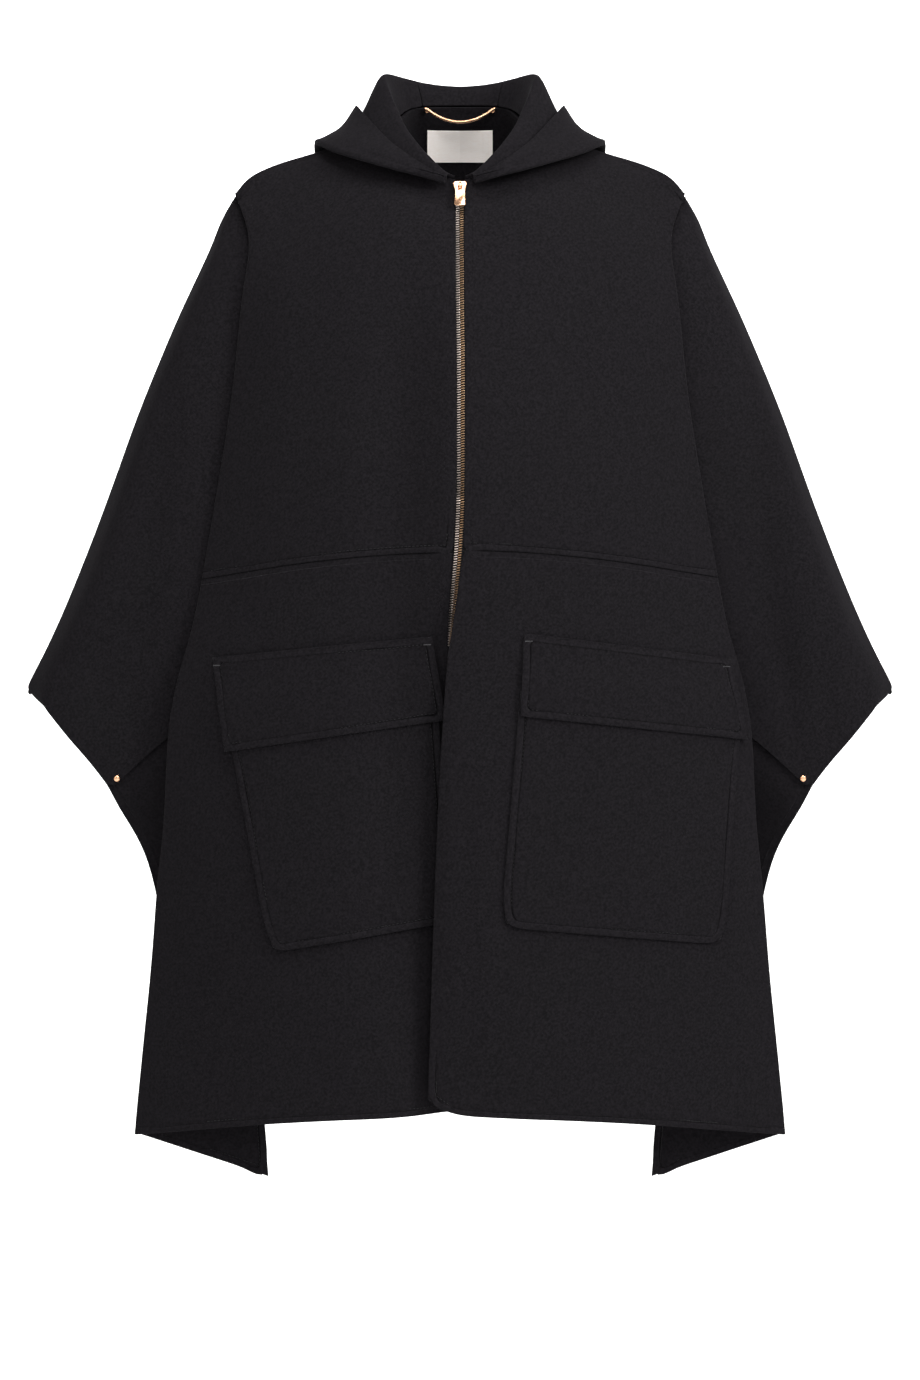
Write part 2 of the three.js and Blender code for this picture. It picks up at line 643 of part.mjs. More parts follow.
function backPoint(x, z, out = 0) {
  const p = vector(x, backY(x, z), z);
  if (!out) return p;
  const e = 2;
  const dx = backY(x + e, z) - backY(x - e, z);
  const dz = backY(x, z + e) - backY(x, z - e);
  const normal = vector(-dx / (2 * e), 1, -dz / (2 * e)).normalize();
  return p.addScaledVector(normal, out);
}

{
  const rows = [];
  const across = [...BACK_SHARES.slice(1).reverse().map((s) => -s), ...BACK_SHARES];
  const rowAt = (zAt) =>
    across.map((s) => {
      const z = zAt(Math.abs(s));
      const width = z > SHOULDER_Z ? SHOULDER_X : outlineX(z);
      const p = backPoint(s * width, z);
      p.y = Math.max(p.y, z >= TIP_Z && Math.abs(s) === 1 ? HALF_SEAM : p.y);
      return p;
    });
  for (let i = 0; i <= YOKE_ROWS; i += 1) {
    const v = (i / YOKE_ROWS) ** YOKE_CROWD;
    rows.push(rowAt((s) => mix(topLine(NECK_BACK, s * SHOULDER_X).z - HALF_SEAM, YOKE_Z, v)));
  }
  for (const z of BACK_HEIGHTS) rows.push(rowAt(() => z));
  const armRows = YOKE_ROWS + BACK_HEIGHTS.indexOf(TIP_Z) + 1;
  const last = across.length - 1;
  const topSeam = (n, i, j) => {
    const onArm = i <= armRows && (j === 0 || j === last);
    const onShoulder = i === 0 && Math.abs(across[j]) >= BACK_NECK_SHARE;
    return onArm || onShoulder ? n.setY(0) : n;
  };
  add("back", wall(rows, CLOTH, BACKWARD, topSeam), "cloth");
}

// Pockets and flaps lie on the fronts
function patch(sign, corners, rows, columns, corner) {
  const [topOuter, topInner, lowOuter, lowInner] = corners;
  const grid = [];
  for (let i = 0; i <= rows; i += 1) {
    const v = i / rows;
    const row = [];
    for (let j = 0; j <= columns; j += 1) {
      const u = j / columns;
      const x = mix(mix(topOuter.x, topInner.x, u), mix(lowOuter.x, lowInner.x, u), v);
      const z = mix(mix(topOuter.z, topInner.z, u), mix(lowOuter.z, lowInner.z, u), v);
      row.push({ x, z });
    }
    grid.push(row);
  }
  if (corner) roundCorners(grid, corner);
  return grid.map((row) => row.map((p) => ({ sign, ...p })));
}

// Draws the two lower corners of a patch in to a radius
function roundCorners(grid, radius) {
  const last = grid.length - 1;
  const columns = grid[0].length - 1;
  const cut = radius * 0.29;
  const towards = (from, to) => {
    const length = Math.hypot(to.x - from.x, to.z - from.z);
    return { x: (to.x - from.x) / length, z: (to.z - from.z) / length };
  };
  for (const j of [0, columns]) {
    const corner = grid[last][j];
    const across = towards(corner, grid[last][columns - j]);
    const up = towards(corner, grid[0][j]);
    corner.x += (across.x + up.x) * cut;
    corner.z += (across.z + up.z) * cut;
  }
}

const onFront = (grid, outAt) => grid.map((row, i) => row.map((p) => frontPoint(p.sign, p.x, p.z, outAt(i))));

for (const side of SIDES) {
  const shapes = POCKETS[side.name];
  const bag = patch(side.sign, shapes.bag, 7, 12, POCKET_CORNER);
  const flap = patch(side.sign, shapes.flap, 4, 12);
  const clear = BAG_OUT[side.name];
  add(`pocket_${side.name}`, wall(onFront(bag, () => clear), POCKET_WALL, FORWARD), "cloth");
  // the flap is sewn down along its top and lies over the bag's top from its second row on
  const lift = (row) => clear + (row < 2 ? 0 : FLAP_LIFT);
  add(`pocket_flap_${side.name}`, wall(onFront(flap, lift), POCKET_WALL, FORWARD), "cloth");
}

// One section of the hood at a place 0 to 1 along the ring, as points from neck seam to free edge
const hoodCurves = {};
const hoodRows = HOOD.length;
for (const key of ["roll", "low", "edge"]) {
  const places = HOOD.map((row) => vector(...row[key]));
  const past = places[hoodRows - 2].clone().setX(-places[hoodRows - 2].x);
  hoodCurves[key] = new THREE.CatmullRomCurve3([...places, past], false, "catmullrom", 0.5);
}
// The neckline as straight stretches between the points that fronts and back share with the hood
const neckRing = new THREE.CurvePath();
{
  const place = (neck, x) => vector(x, topLine(neck, x).y, topLine(neck, x).z);
  const front = FRONT_SHARES.filter((s) => s < NECK_SHARE).map((s) => place(NECK_FRONT, frontTopX(s)));
  const behind = BACK_SHARES.filter((s) => s <= BACK_NECK_SHARE).map((s) => place(NECK_BACK, s * SHOULDER_X));
  const places = [...front, ...behind.reverse()];
  for (let i = 1; i < places.length; i += 1) neckRing.add(new THREE.LineCurve3(places[i - 1], places[i]));
}
const neckLengths = neckRing.getCurveLengths();
const neckCorners = [0, ...neckLengths.map((length) => length / neckLengths[neckLengths.length - 1])];
const hoodSeamCorner = neckCorners.length - 1 - BACK_SHARES.indexOf(HOOD_SEAM_SHARE);

// Places along the ring at the neckline's corners from one to another, and halfway between them
function ringPlaces(from, to) {
  const places = [neckCorners[from]];
  for (let i = from; i < to; i += 1)
    places.push((neckCorners[i] + neckCorners[i + 1]) / 2, neckCorners[i + 1]);
  return places;
}
const hoodColumn = (column) => new THREE.CatmullRomCurve3(HOOD.map((row, i) => vector(i, row[column], 0)));
const [hoodPuff, hoodCrown, hoodSink] = ["puff", "crown", "sink"].map(hoodColumn);

function hoodSection(at, points) {
  const t = clamp01(Math.abs(at));
  const key = (name) => hoodCurves[name].getPoint((t * (hoodRows - 1)) / hoodRows);
  const [roll, low, edge] = ["roll", "low", "edge"].map(key);
  const [puff, crown, sink] = [hoodPuff, hoodCrown, hoodSink].map((curve) => curve.getPoint(t).y);
  const out = low.clone().sub(roll).setZ(0).normalize();
  const up = vector(0, 0, 1);
  const moved = (p, outBy, upBy) => p.clone().addScaledVector(out, outBy).addScaledVector(up, upBy);
  // at the front the stand lies on the neckline, and from the side on it rises inside it
  const rises = clamp01((t - STAND_RISES.from) / STAND_RISES.over);
  const lift = mix(STAND_LIFT_FRONT, STAND_LIFT_BACK, rises);
  const neck = neckRing.getPoint(t).clone().addScaledVector(up, lift);
  neck.addScaledVector(vector(neck.x, neck.y, 0).normalize(), -STAND_INSIDE * rises);
  const stand = moved(neck.clone().lerp(roll, 0.55), -STAND_HOLLOW, 0);
  const turn = Math.min(ROLL_TURN, puff + 2);
  const over = moved(roll, turn, -turn * ROLL_DROP);
  const below = -puff * UNDER.down - UNDER.spare - sink;
  const under = moved(roll.clone().lerp(low, 0.5), -puff * UNDER.out, below);
  const inLow = moved(low, -puff * LOOP.swell - LOOP.spare, LOOP.up);
  const along = edge.clone().sub(low).normalize();
  const outLow = moved(low, LOOP_OUT, 0).addScaledVector(along, LOOP_RISE);
  const face = moved(low.clone().lerp(edge, 0.5), crown, crown * 0.8);
  const path = [neck, stand, roll, over, under, inLow, low, outLow, face, edge];
  const curve = new THREE.CatmullRomCurve3(path, false, "centripetal");
  return curve.getPoints(points).map(clearOfBody);
}

// Moves a point of the hood out of the fronts and the back that it lies on
function clearOfBody(p) {
  const half = Math.abs(p.x);
  const below = (neck) => p.z < topLine(neck, half).z - BELOW_TOP;
  if (p.y > AWAY_FROM_SEAM && below(NECK_BACK)) {
    const clear = backPoint(half, p.z, CLOTH + BAG_CLEAR);
    p.y = Math.max(p.y, mix(backY(half, p.z), clear.y, BAG_SPARE));
  }
  if (p.y < -AWAY_FROM_SEAM && below(NECK_FRONT)) {
    const clear = frontPoint(1, half, p.z, CLOTH + HOOD_CLEAR);
    p.y = Math.min(p.y, mix(frontY(1, half, p.z), clear.y, HOOD_SPARE));
  }
  return p;
}

{
  const sidePlaces = ringPlaces(0, hoodSeamCorner);
  const centrePlaces = ringPlaces(hoodSeamCorner, neckCorners.length - 1);
  centrePlaces[0] += HOOD_SEAM_GAP;
  for (const side of SIDES) {
    const grid = sidePlaces.map((t) =>
      hoodSection(t, HOOD_POINTS).map((p) => p.setX(Math.abs(p.x) * side.sign)),
    );
    add(`hood_side_${side.name}`, wall(grid, CLOTH, vector(side.sign, 0, 1)), "cloth");
  }
  const half = centrePlaces.map((t) => hoodSection(t, HOOD_POINTS));
  const mirrored = half.slice(0, -1).map((row) => row.map((p) => p.clone().setX(-p.x)));
  add("hood_centre", wall([...mirrored, ...half.reverse()], CLOTH, BACKWARD), "cloth");
}

// Centre line of the zip chain
function zipPoint(z) {
  const right = read(CENTRE_EDGES, "right", "z", z);
  const left = read(CENTRE_EDGES, "left", "z", z);
  const a = vector(right, frontY(-1, right, z), z);
  const b = vector(left, frontY(1, left, z), z);
  const middle = a.clone().lerp(b, 0.5).add(vector(0, CLOTH / 2, 0));
  return { a, b, middle, across: b.clone().sub(a).setZ(0).normalize() };
}

// The closed chain as a flat strip between the edges of the fronts
function zipStrip(thick) {
  const grid = [];
  for (let i = 0; i <= ZIP_STEPS; i += 1) {
    const z = mix(CHAIN_TOP_Z, ZIP_END_Z, i / ZIP_STEPS);
    const { middle, across } = zipPoint(z);
    const ahead = vector(across.y, -across.x, 0).multiplyScalar(thick / 2);
    const row = [-0.5, 0, 0.5].map((o) => middle.clone().addScaledVector(across, o * CHAIN_WIDTH).add(ahead));
    grid.push(row);
  }
  return wall(grid, thick, FORWARD);
}

add("zip_chain", zipStrip(CHAIN_THICK), "metal");

// A tape runs behind the edge of its front and on behind the chain
function zipTape(side) {
  const grid = [];
  for (let i = 0; i <= ZIP_STEPS; i += 1) {
    const z = mix(CHAIN_TOP_Z, ZIP_END_Z - 3, i / ZIP_STEPS);
    const { a, b, middle, across } = zipPoint(z);
    const edge = side.sign < 0 ? a : b;
    const behindCloth = -(CLOTH + SEAM + 1.5);
    const outer = frontPoint(side.sign, edge.x + side.sign * TAPE_WIDTH, z, behindCloth);
    const bend = frontPoint(side.sign, edge.x, z, behindCloth);
    const inner = middle.clone().addScaledVector(across, side.sign * 0.9);
    inner.addScaledVector(vector(-across.y, across.x, 0), CHAIN_THICK / 2 + SEAM + 0.9);
    grid.push([inner, bend, outer]);
  }
  return wall(grid, TAPE_THICK, FORWARD);
}

for (const side of SIDES) add(`zip_tape_${side.name}`, zipTape(side), "tape");

// Hanger chain across the inside of the back neck
{
  const points = [];
  const steps = 14;
  for (let i = 0; i <= steps; i += 1) {
    const s = mix(-1, 1, i / steps);
    points.push(vector(s * HANGER_HALF, HANGER_Y, HANGER_TOP_Z - HANGER_SAG * (1 - s * s)));
  }
  const round = new THREE.Shape().absarc(0, 0, HANGER_R, 0, Math.PI * 2, false);
  const tube = new THREE.ExtrudeGeometry(round, {
    steps: 28,
    curveSegments: 4,
    bevelEnabled: false,
    extrudePath: new THREE.CatmullRomCurve3(points),
  });
  tube.deleteAttribute("normal");
  tube.deleteAttribute("uv");
  add("hanger_chain", mergeVertices(tube, 1e-4), "metal");
}

// Label: a bare woven rectangle inside the back, just below the neck
{
  const grid = [];
  const [rows, columns] = [3, 6];
  for (let i = 0; i <= rows; i += 1) {
    const z = LABEL_TOP_Z - (i / rows) * LABEL_HEIGHT;
    const row = [];
    for (let j = 0; j <= columns; j += 1) {
      const p = backPoint((j / columns - 0.5) * LABEL_WIDTH, z, -CLOTH - LABEL_CLEAR);
      row.push(p);
    }
    grid.push(row);
  }
  add("label", wall(grid, -LABEL_THICK, BACKWARD), "label");
}

// Two closed meshes joined into one geometry
const wasm = await Module();
wasm.setup();

function toManifold(geometry) {
  const bare = geometry.clone();
  for (const key of Object.keys(bare.attributes)) if (key !== "position") bare.deleteAttribute(key);
  const merged = mergeVertices(bare, 1e-3);
  const faces = new Uint32Array(merged.index.array);
  return new wasm.Manifold(new wasm.Mesh({
    numProp: 3,
    vertProperties: merged.attributes.position.array,
    triVerts: faces,
  }));
}

function fromManifold(shape) {
  const mesh = shape.getMesh();
  const geometry = new THREE.BufferGeometry();
  geometry.setAttribute("position", new THREE.Float32BufferAttribute(mesh.vertProperties, 3));
  geometry.setIndex([...mesh.triVerts]);
  return geometry;
}

// A plate with its outline in the picture's plane, from y to y + depth
function plate(shape, y, depth, bevel = 0) {
  const geometry = new THREE.ExtrudeGeometry(shape, {
    depth: depth - 2 * bevel,
    bevelEnabled: bevel > 0,
    bevelThickness: bevel,
    bevelSize: bevel,
    bevelOffset: -bevel,
    bevelSegments: 1,
    curveSegments: 6,
  });
  return geometry.translate(0, 0, bevel).rotateX(Math.PI / 2).translate(0, y + depth, 0);
}

// Slider and pull lie on the slope of the fronts: in their own frame the cloth is at y = 0
const onZip = new THREE.Group();
const zipFaceY = (z) => frontY(1, NECK_EDGE_X, z);
onZip.position.set(0, zipFaceY(PULL_AXIS_Z) - ZIP_STAND_OFF, PULL_AXIS_Z);
onZip.rotation.x = Math.atan2(zipFaceY(PULL_AXIS_Z - PULL_LENGTH) - zipFaceY(PULL_AXIS_Z), PULL_LENGTH);
cape.add(onZip);
const sliderFace = -SEAM - SLIDER_DEPTH;

// Slider: shield-shaped body with a crown that carries the pull
{
  const outline = new THREE.Shape();
  const [wide, narrow] = [SLIDER_WIDTH / 2, SLIDER_WIDTH * 0.34];
  outline.moveTo(-wide + 2, SLIDER_TOP);
  outline.lineTo(wide - 2, SLIDER_TOP);
  outline.lineTo(wide, SLIDER_TOP - 2.5);
  outline.lineTo(narrow, SLIDER_TOP - SLIDER_LENGTH);
  outline.lineTo(-narrow, SLIDER_TOP - SLIDER_LENGTH);
  outline.lineTo(-wide, SLIDER_TOP - 2.5);
  outline.closePath();
  const body = plate(outline, sliderFace, SLIDER_DEPTH, 0.5);
  const ring = new THREE.Shape().absarc(0, 0, CROWN_OUTER, Math.PI, 0, true);
  ring.lineTo(CROWN_OUTER, -1);
  ring.lineTo(CROWN_INNER, -1);
  ring.lineTo(CROWN_INNER, 0);
  ring.absarc(0, 0, CROWN_INNER, 0, Math.PI, false);
  ring.lineTo(-CROWN_INNER, -1);
  ring.lineTo(-CROWN_OUTER, -1);
  ring.closePath();
  const across = { depth: CROWN_WIDTH, bevelEnabled: false, curveSegments: 8 };
  const crown = new THREE.ExtrudeGeometry(ring, across);
  // the ring's own x runs up and its y runs forward
  const standing = new THREE.Matrix4().makeBasis(vector(0, 0, 1), FORWARD, vector(1, 0, 0));
  crown.translate(0, 0, -CROWN_WIDTH / 2).applyMatrix4(standing).translate(0, sliderFace + 0.2, 0);
  add("zip_slider", fromManifold(toManifold(body).add(toManifold(crown))), "metal", onZip);
}

// Pull tab: hangs on the crown by its top bar
{
  const half = PULL_WIDTH / 2;
  const top = PULL_BAR / 2;
  const outline = new THREE.Shape();
  outline.moveTo(-PULL_NECK / 2, top);
  outline.lineTo(PULL_NECK / 2, top);
  outline.lineTo(half - 1, -8);
  outline.lineTo(half, -PULL_LENGTH + 1.5);
  outline.lineTo(half - 1.5, -PULL_LENGTH);
  outline.lineTo(-half + 1.5, -PULL_LENGTH);
  outline.lineTo(-half, -PULL_LENGTH + 1.5);
  outline.lineTo(-half + 1, -8);
  outline.closePath();
  const hole = new THREE.Path();
  const [w, high, low] = [PULL_HOLE / 2, -PULL_BAR / 2, -PULL_HOLE_LOW];
  hole.moveTo(-w, high);
  hole.lineTo(-w, low);
  hole.lineTo(w, low);
  hole.lineTo(w, high);
  hole.closePath();
  outline.holes.push(hole);
  add("zip_pull", plate(outline, sliderFace - PULL_AXIS_OUT - PULL_THICK / 2, PULL_THICK), "metal", onZip);
}

// Top stops, one on each tape above the chain
for (const side of SIDES) {
  const stop = new THREE.BoxGeometry(STOP_WIDTH, STOP_DEPTH, STOP_HEIGHT);
  const up = CHAIN_TOP_Z - PULL_AXIS_Z + SEAM + STOP_HEIGHT / 2;
  stop.translate(side.sign * (STOP_WIDTH / 2 + 0.4), ZIP_STAND_OFF + CLOTH / 2, up + 0.8);
  add(`zip_stop_${side.name}`, stop, "metal", onZip);
}

// A low dome on a disc, turned to face a direction, with its base at a place
function dome(radius, height, place, facing, steps = 14) {
  const profile = [new THREE.Vector2(0, 0), new THREE.Vector2(radius, 0)];
  for (let k = 0; k <= 4; k += 1) {
    const angle = (k / 4) * (Math.PI / 2);
    const rise = height * mix(DOME_RIM, 1, Math.sin(angle));
    profile.push(new THREE.Vector2(radius * Math.cos(angle) * DOME_TAPER, rise));
  }
  profile[profile.length - 1].x = 0;
  const geometry = new THREE.LatheGeometry(profile, steps);
  const turn = new THREE.Quaternion().setFromUnitVectors(vector(0, 1, 0), facing.clone().normalize());
  return geometry.applyQuaternion(turn).translate(place.x, place.y, place.z);
}

// Studs on the lower corners of the wings, and their caps outside the back's free edge
for (const side of SIDES) {
  const e = 3;
  const at = vector(side.sign * STUD_X, wingY(STUD_X, STUD_POINT_Z), STUD_POINT_Z);
  const dx = (wingY(STUD_X + e, STUD_POINT_Z) - wingY(STUD_X - e, STUD_POINT_Z)) / (2 * e);
  const dz = (wingY(STUD_X, STUD_POINT_Z + e) - wingY(STUD_X, STUD_POINT_Z - e)) / (2 * e);
  const facing = vector(dx * side.sign, -1, dz).normalize();
  add(`stud_${side.name}`, dome(STUD_R, STUD_DOME, at.addScaledVector(facing, STUD_OUT), facing), "metal");
  const capAt = backPoint(side.sign * CAP_X, CAP_Z, CAP_OUT);
  const outward = capAt.clone().sub(backPoint(side.sign * CAP_X, CAP_Z));
  add(`stud_cap_${side.name}`, dome(CAP_R, CAP_DOME, capAt, outward, CAP_STEPS), "metal");
}

// End studs of the hanger chain
for (const side of SIDES) {
  const at = vector(side.sign * (HANGER_HALF - 2), HANGER_Y + HANGER_R + SEAM, HANGER_STUD_Z);
  const stud = dome(HANGER_STUD_R, HANGER_STUD_HEIGHT, at, BACKWARD, HANGER_STUD_STEPS);
  add(`hanger_stud_${side.name}`, stud, "metal");
}

export default cape;
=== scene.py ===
from math import exp, pi, radians, sin

import bmesh
import bpy
from mathutils import Matrix, Vector, noise
from mathutils.bvhtree import BVHTree


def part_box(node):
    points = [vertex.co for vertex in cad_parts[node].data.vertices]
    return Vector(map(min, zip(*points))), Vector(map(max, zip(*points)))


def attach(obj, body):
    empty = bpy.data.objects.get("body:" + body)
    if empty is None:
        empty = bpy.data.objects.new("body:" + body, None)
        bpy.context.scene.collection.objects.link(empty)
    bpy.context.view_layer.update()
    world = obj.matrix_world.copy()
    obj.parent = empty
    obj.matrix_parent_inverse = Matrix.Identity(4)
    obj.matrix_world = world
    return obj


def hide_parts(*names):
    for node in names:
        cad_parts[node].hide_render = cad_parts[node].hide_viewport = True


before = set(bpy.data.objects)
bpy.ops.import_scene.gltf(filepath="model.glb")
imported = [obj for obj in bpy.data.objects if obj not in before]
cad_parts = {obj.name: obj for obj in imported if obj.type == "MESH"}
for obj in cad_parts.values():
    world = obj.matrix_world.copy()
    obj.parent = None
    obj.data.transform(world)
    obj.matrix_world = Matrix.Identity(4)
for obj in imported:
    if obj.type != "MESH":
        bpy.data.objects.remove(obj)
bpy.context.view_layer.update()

# Metres throughout, +Z up, the front faces -Y. Right and left are the wearer's: right has negative X.
MM = 0.001

# Cloth
CLOTH = 2.5 * MM  # wall of the double wool cloth
ROUND = 1.1 * MM  # holding loop that rounds the cloth's edge
WELT = 7.5 * MM  # from an edge to its row of stitching
GROOVE = 1.2 * MM  # half width of the stitched groove
GROOVE_DEPTH = 1.25 * MM
STRAY = 0.25 * MM  # a point further than this from the wall's form is put back on it
SOFT = 0.45 * MM  # smoothing may draw a point in by this much
SMOOTH_LEVELS = 2
SMOOTH_ROUNDS = 2
SMOOTH_CATCH = 0.9  # share of a point's way back that one round makes good
CORNER_HOLD = 0.95  # how sharp the corners of a panel stay
CORNER_TURN = 40  # degrees that the outline turns at a corner
WELT_PAINTED_HIGHLIGHT = -0.28  # painted highlight of a raised welt, as a negative shade against the painted shade of 1 in a groove
SHADE_STRENGTH = 0.72  # share of its colour that the cloth loses at a painted shade of 1
FULLNESS = 1.08  # the cut panel's reach, against its reach as worn
NECK_DROP = 1.7 * MM  # the hood's inner edge settles on the back's neck edge

# Stitches and bartacks
STITCH_LENGTH = 3.0 * MM
STITCH_PITCH = 3.9 * MM
STITCH_R = 0.32 * MM
STITCH_LIFT = 0.1 * MM
LONGEST_STEP = 60 * MM  # a seam's points further apart than this aren't sewn together
SEWN_WAIST_Z = -385 * MM  # the upper fronts are sewn through below this
SEWN_HEM_Z = -925 * MM  # and the lower fronts below this
TACK_WIDTH = 7.5 * MM
TACK_COUNT = 7
TACK_INSET = 1.2 * MM
TACK_DROP = 8 * MM
TACK_SIZE = (0.55 * MM, 0.8 * MM, 0.45 * MM)

# Zip, hanger and studs
TOOTH_PITCH = 2.5 * MM
TOOTH_LENGTH = 3.9 * MM
TOOTH_HEIGHT = 1.0 * MM
TOOTH_DEPTH = 2.2 * MM
TOOTH_SLANT = 7  # degrees
TOOTH_BEVEL = 0.3 * MM
ROW_OFFSET = 2.15 * MM  # from the chain's middle to the middle of a row of teeth
CHAIN_TOP = 1 * MM  # free ends of the zip's chain, above and below its teeth
CHAIN_FOOT = 8 * MM
ZIP_STEPS = 40
RING_R = 1.75 * MM
RING_WAIST = 1.4 * MM
RING_PITCH = 1.15 * MM
RING_SIDES = 12
HANGER_STEPS = 60
HANGER_END = 0.4 * MM  # the rings start this far inside the chain's ends
METAL_BEVEL = 0.35 * MM
SMALL_BEVEL = 0.3 * MM
STUD_BEVEL = 0.2 * MM
FLAT_TURN = 2  # degrees below which a metal piece's faces are one
SHARP_TURN = 35  # degrees above which its edges are rounded

# Where an effect fades in, from the first value (0) to the second one (1).
FADES = {
    "beside_zip": (6 * MM, 26 * MM),
    "below_collar": (-50 * MM, -110 * MM),
    "below_shoulder": (-70 * MM, -200 * MM),
    "out_on_wing": (232 * MM, 285 * MM),
    "down_back": (-40 * MM, -160 * MM),
    "waist_from": (-372 * MM, -384 * MM),
    "waist_to": (-446 * MM, -438 * MM),
    "waist_welt": (-365 * MM, -385 * MM),
    "past_zip_tape": (9 * MM, 13 * MM),
    "hem_welt": (-900 * MM, -930 * MM),
    "hood_below": (80 * MM, 72 * MM),
    "hood_ahead": (64 * MM, 58 * MM),
    "hood_behind": (20 * MM, 30 * MM),
    "hood_middle": (62 * MM, 52 * MM),
}
# Unevenness of the cloth, and how far the wings' creases wander.
FRONT_HAND = 1.3 * MM
WING_HAND = 1.6 * MM
BACK_HAND = 1.8 * MM
WING_DRIFT = 8 * MM

FRONTS = ["upper_front_right", "upper_front_left", "lower_front_right", "lower_front_left"]
POCKETS = ["pocket_right", "pocket_left", "pocket_flap_right", "pocket_flap_left"]
WINGS = ["wing_front_right", "wing_front_left"]
HOOD = ["hood_side_right", "hood_side_left", "hood_centre"]
BODY = "garment"
SIDES = {"right": -1, "left": 1}

# Main creases of the fronts, as soft troughs (negative depth) and ridges.
# start and end are (x, z) seen from ahead, in millimetres.
FRONT_CREASES = [
    {"start": (-58, -130), "end": (-62, -410), "width": 34, "depth": -8.5},
    {"start": (-62, -410), "end": (-60, -900), "width": 34, "depth": -8.0},
    {"start": (-190, -60), "end": (-176, -250), "width": 30, "depth": 2.4},
    {"start": (-120, -90), "end": (-150, -300), "width": 38, "depth": -1.8},
    {"start": (188, -60), "end": (178, -230), "width": 30, "depth": 2.4},
    {"start": (110, -110), "end": (142, -330), "width": 40, "depth": -1.8},
    {"start": (-262, -620), "end": (-296, -960), "width": 26, "depth": 3.0},
    {"start": (-214, -830), "end": (-236, -975), "width": 30, "depth": -2.6},
    {"start": (-120, -830), "end": (-112, -965), "width": 44, "depth": 2.2},
    {"start": (268, -640), "end": (298, -960), "width": 24, "depth": 2.8},
    {"start": (196, -820), "end": (220, -970), "width": 34, "depth": -2.8},
    {"start": (96, -810), "end": (88, -960), "width": 46, "depth": 2.4},
    {"start": (24, -600), "end": (10, -900), "width": 26, "depth": 1.8},
]
WING_CREASES = [
    {"start": (296, -220), "end": (326, -520), "width": 20, "depth": -5.6},
    {"start": (345, -330), "end": (392, -540), "width": 20, "depth": 3.0},
    {"start": (322, -470), "end": (346, -610), "width": 14, "depth": -3.0},
    {"start": (372, -470), "end": (372, -590), "width": 16, "depth": -2.4},
]
# Painted shade: where the cloth's colour is darkened to stand for shade, in the same measures.
FRONT_PAINTED_SHADE = [
    {"start": (-36, -150), "end": (-40, -900), "width": 30, "depth": 0.27},
    {"start": (-268, -600), "end": (-250, -940), "width": 44, "depth": 0.16},
]
WING_PAINTED_SHADE = [
    {"start": (296, -250), "end": (338, -560), "width": 30, "depth": 0.16},
]
BACK_CREASES = [
    {"start": (0, -260), "end": (4, -940), "width": 60, "depth": -5.0},
    {"start": (-96, -330), "end": (-110, -950), "width": 44, "depth": 5.0},
    {"start": (104, -350), "end": (116, -950), "width": 46, "depth": 4.6},
    {"start": (-190, -380), "end": (-214, -940), "width": 40, "depth": -5.4},
    {"start": (196, -360), "end": (210, -950), "width": 40, "depth": -5.0},
    {"start": (-238, -120), "end": (-300, -520), "width": 30, "depth": -4.6},
    {"start": (240, -130), "end": (306, -500), "width": 32, "depth": -4.2},
    {"start": (-330, -300), "end": (-372, -560), "width": 24, "depth": 3.6},
    {"start": (332, -320), "end": (376, -570), "width": 24, "depth": 3.4},
    {"start": (-60, -170), "end": (-130, -330), "width": 34, "depth": 2.6},
    {"start": (64, -180), "end": (128, -330), "width": 34, "depth": 2.4},
]


# Materials
def material(name, colour, roughness, metallic=0.0):
    """A new material, with its node tree, its shader and its Object coordinates."""
    mat = bpy.data.materials.new(name)
    mat.use_nodes = True
    nodes = mat.node_tree.nodes
    shader = nodes["Principled BSDF"]
    shader.inputs["Base Color"].default_value = (*colour, 1)
    shader.inputs["Roughness"].default_value = roughness
    shader.inputs["Metallic"].default_value = metallic
    where = nodes.new("ShaderNodeTexCoord")
    return mat, mat.node_tree, shader, where.outputs["Object"]


def noise_node(tree, where, scale, detail=4.0, stretch=(1, 1, 1), turn=(0, 0, 0)):
    """Noise on Object coordinates, stretched and turned."""
    mapping = tree.nodes.new("ShaderNodeMapping")
    mapping.inputs["Scale"].default_value = stretch
    mapping.inputs["Rotation"].default_value = turn
    tree.links.new(where, mapping.inputs["Vector"])
    texture = tree.nodes.new("ShaderNodeTexNoise")
    texture.inputs["Scale"].default_value = scale
    texture.inputs["Detail"].default_value = detail
    tree.links.new(mapping.outputs["Vector"], texture.inputs["Vector"])
    return texture.outputs["Fac"]


def ramp(tree, value, low, high, dark, light):
    """A colour ramp between two colours."""
    node = tree.nodes.new("ShaderNodeValToRGB")
    node.color_ramp.elements[0].position = low
    node.color_ramp.elements[0].color = (*dark, 1)
    node.color_ramp.elements[1].position = high
    node.color_ramp.elements[1].color = (*light, 1)
    tree.links.new(value, node.inputs["Fac"])
    return node.outputs["Color"]


def bump(tree, value, distance, strength=1.0, before=None):
    node = tree.nodes.new("ShaderNodeBump")
    node.inputs["Distance"].default_value = distance
    node.inputs["Strength"].default_value = strength
    tree.links.new(value, node.inputs["Height"])
    if before:
        tree.links.new(before, node.inputs["Normal"])
    return node.outputs["Normal"]


def shaded(tree, colour):
    """The colour with painted shade and painted highlight from the mesh's shade attribute: darker in
    grooves, at the waist seam's edges and in the nap zones, a little lighter on welts.
    """
    shade = tree.nodes.new("ShaderNodeAttribute")
    shade.attribute_name = "shade"
    left = tree.nodes.new("ShaderNodeMath")
    left.operation = "MULTIPLY_ADD"
    left.inputs[1].default_value = -SHADE_STRENGTH
    left.inputs[2].default_value = 1.0
    tree.links.new(shade.outputs["Fac"], left.inputs[0])
    scaled = tree.nodes.new("ShaderNodeVectorMath")
    scaled.operation = "SCALE"
    tree.links.new(colour, scaled.inputs["Vector"])
    tree.links.new(left.outputs["Value"], scaled.inputs["Scale"])
    return scaled.outputs["Vector"]


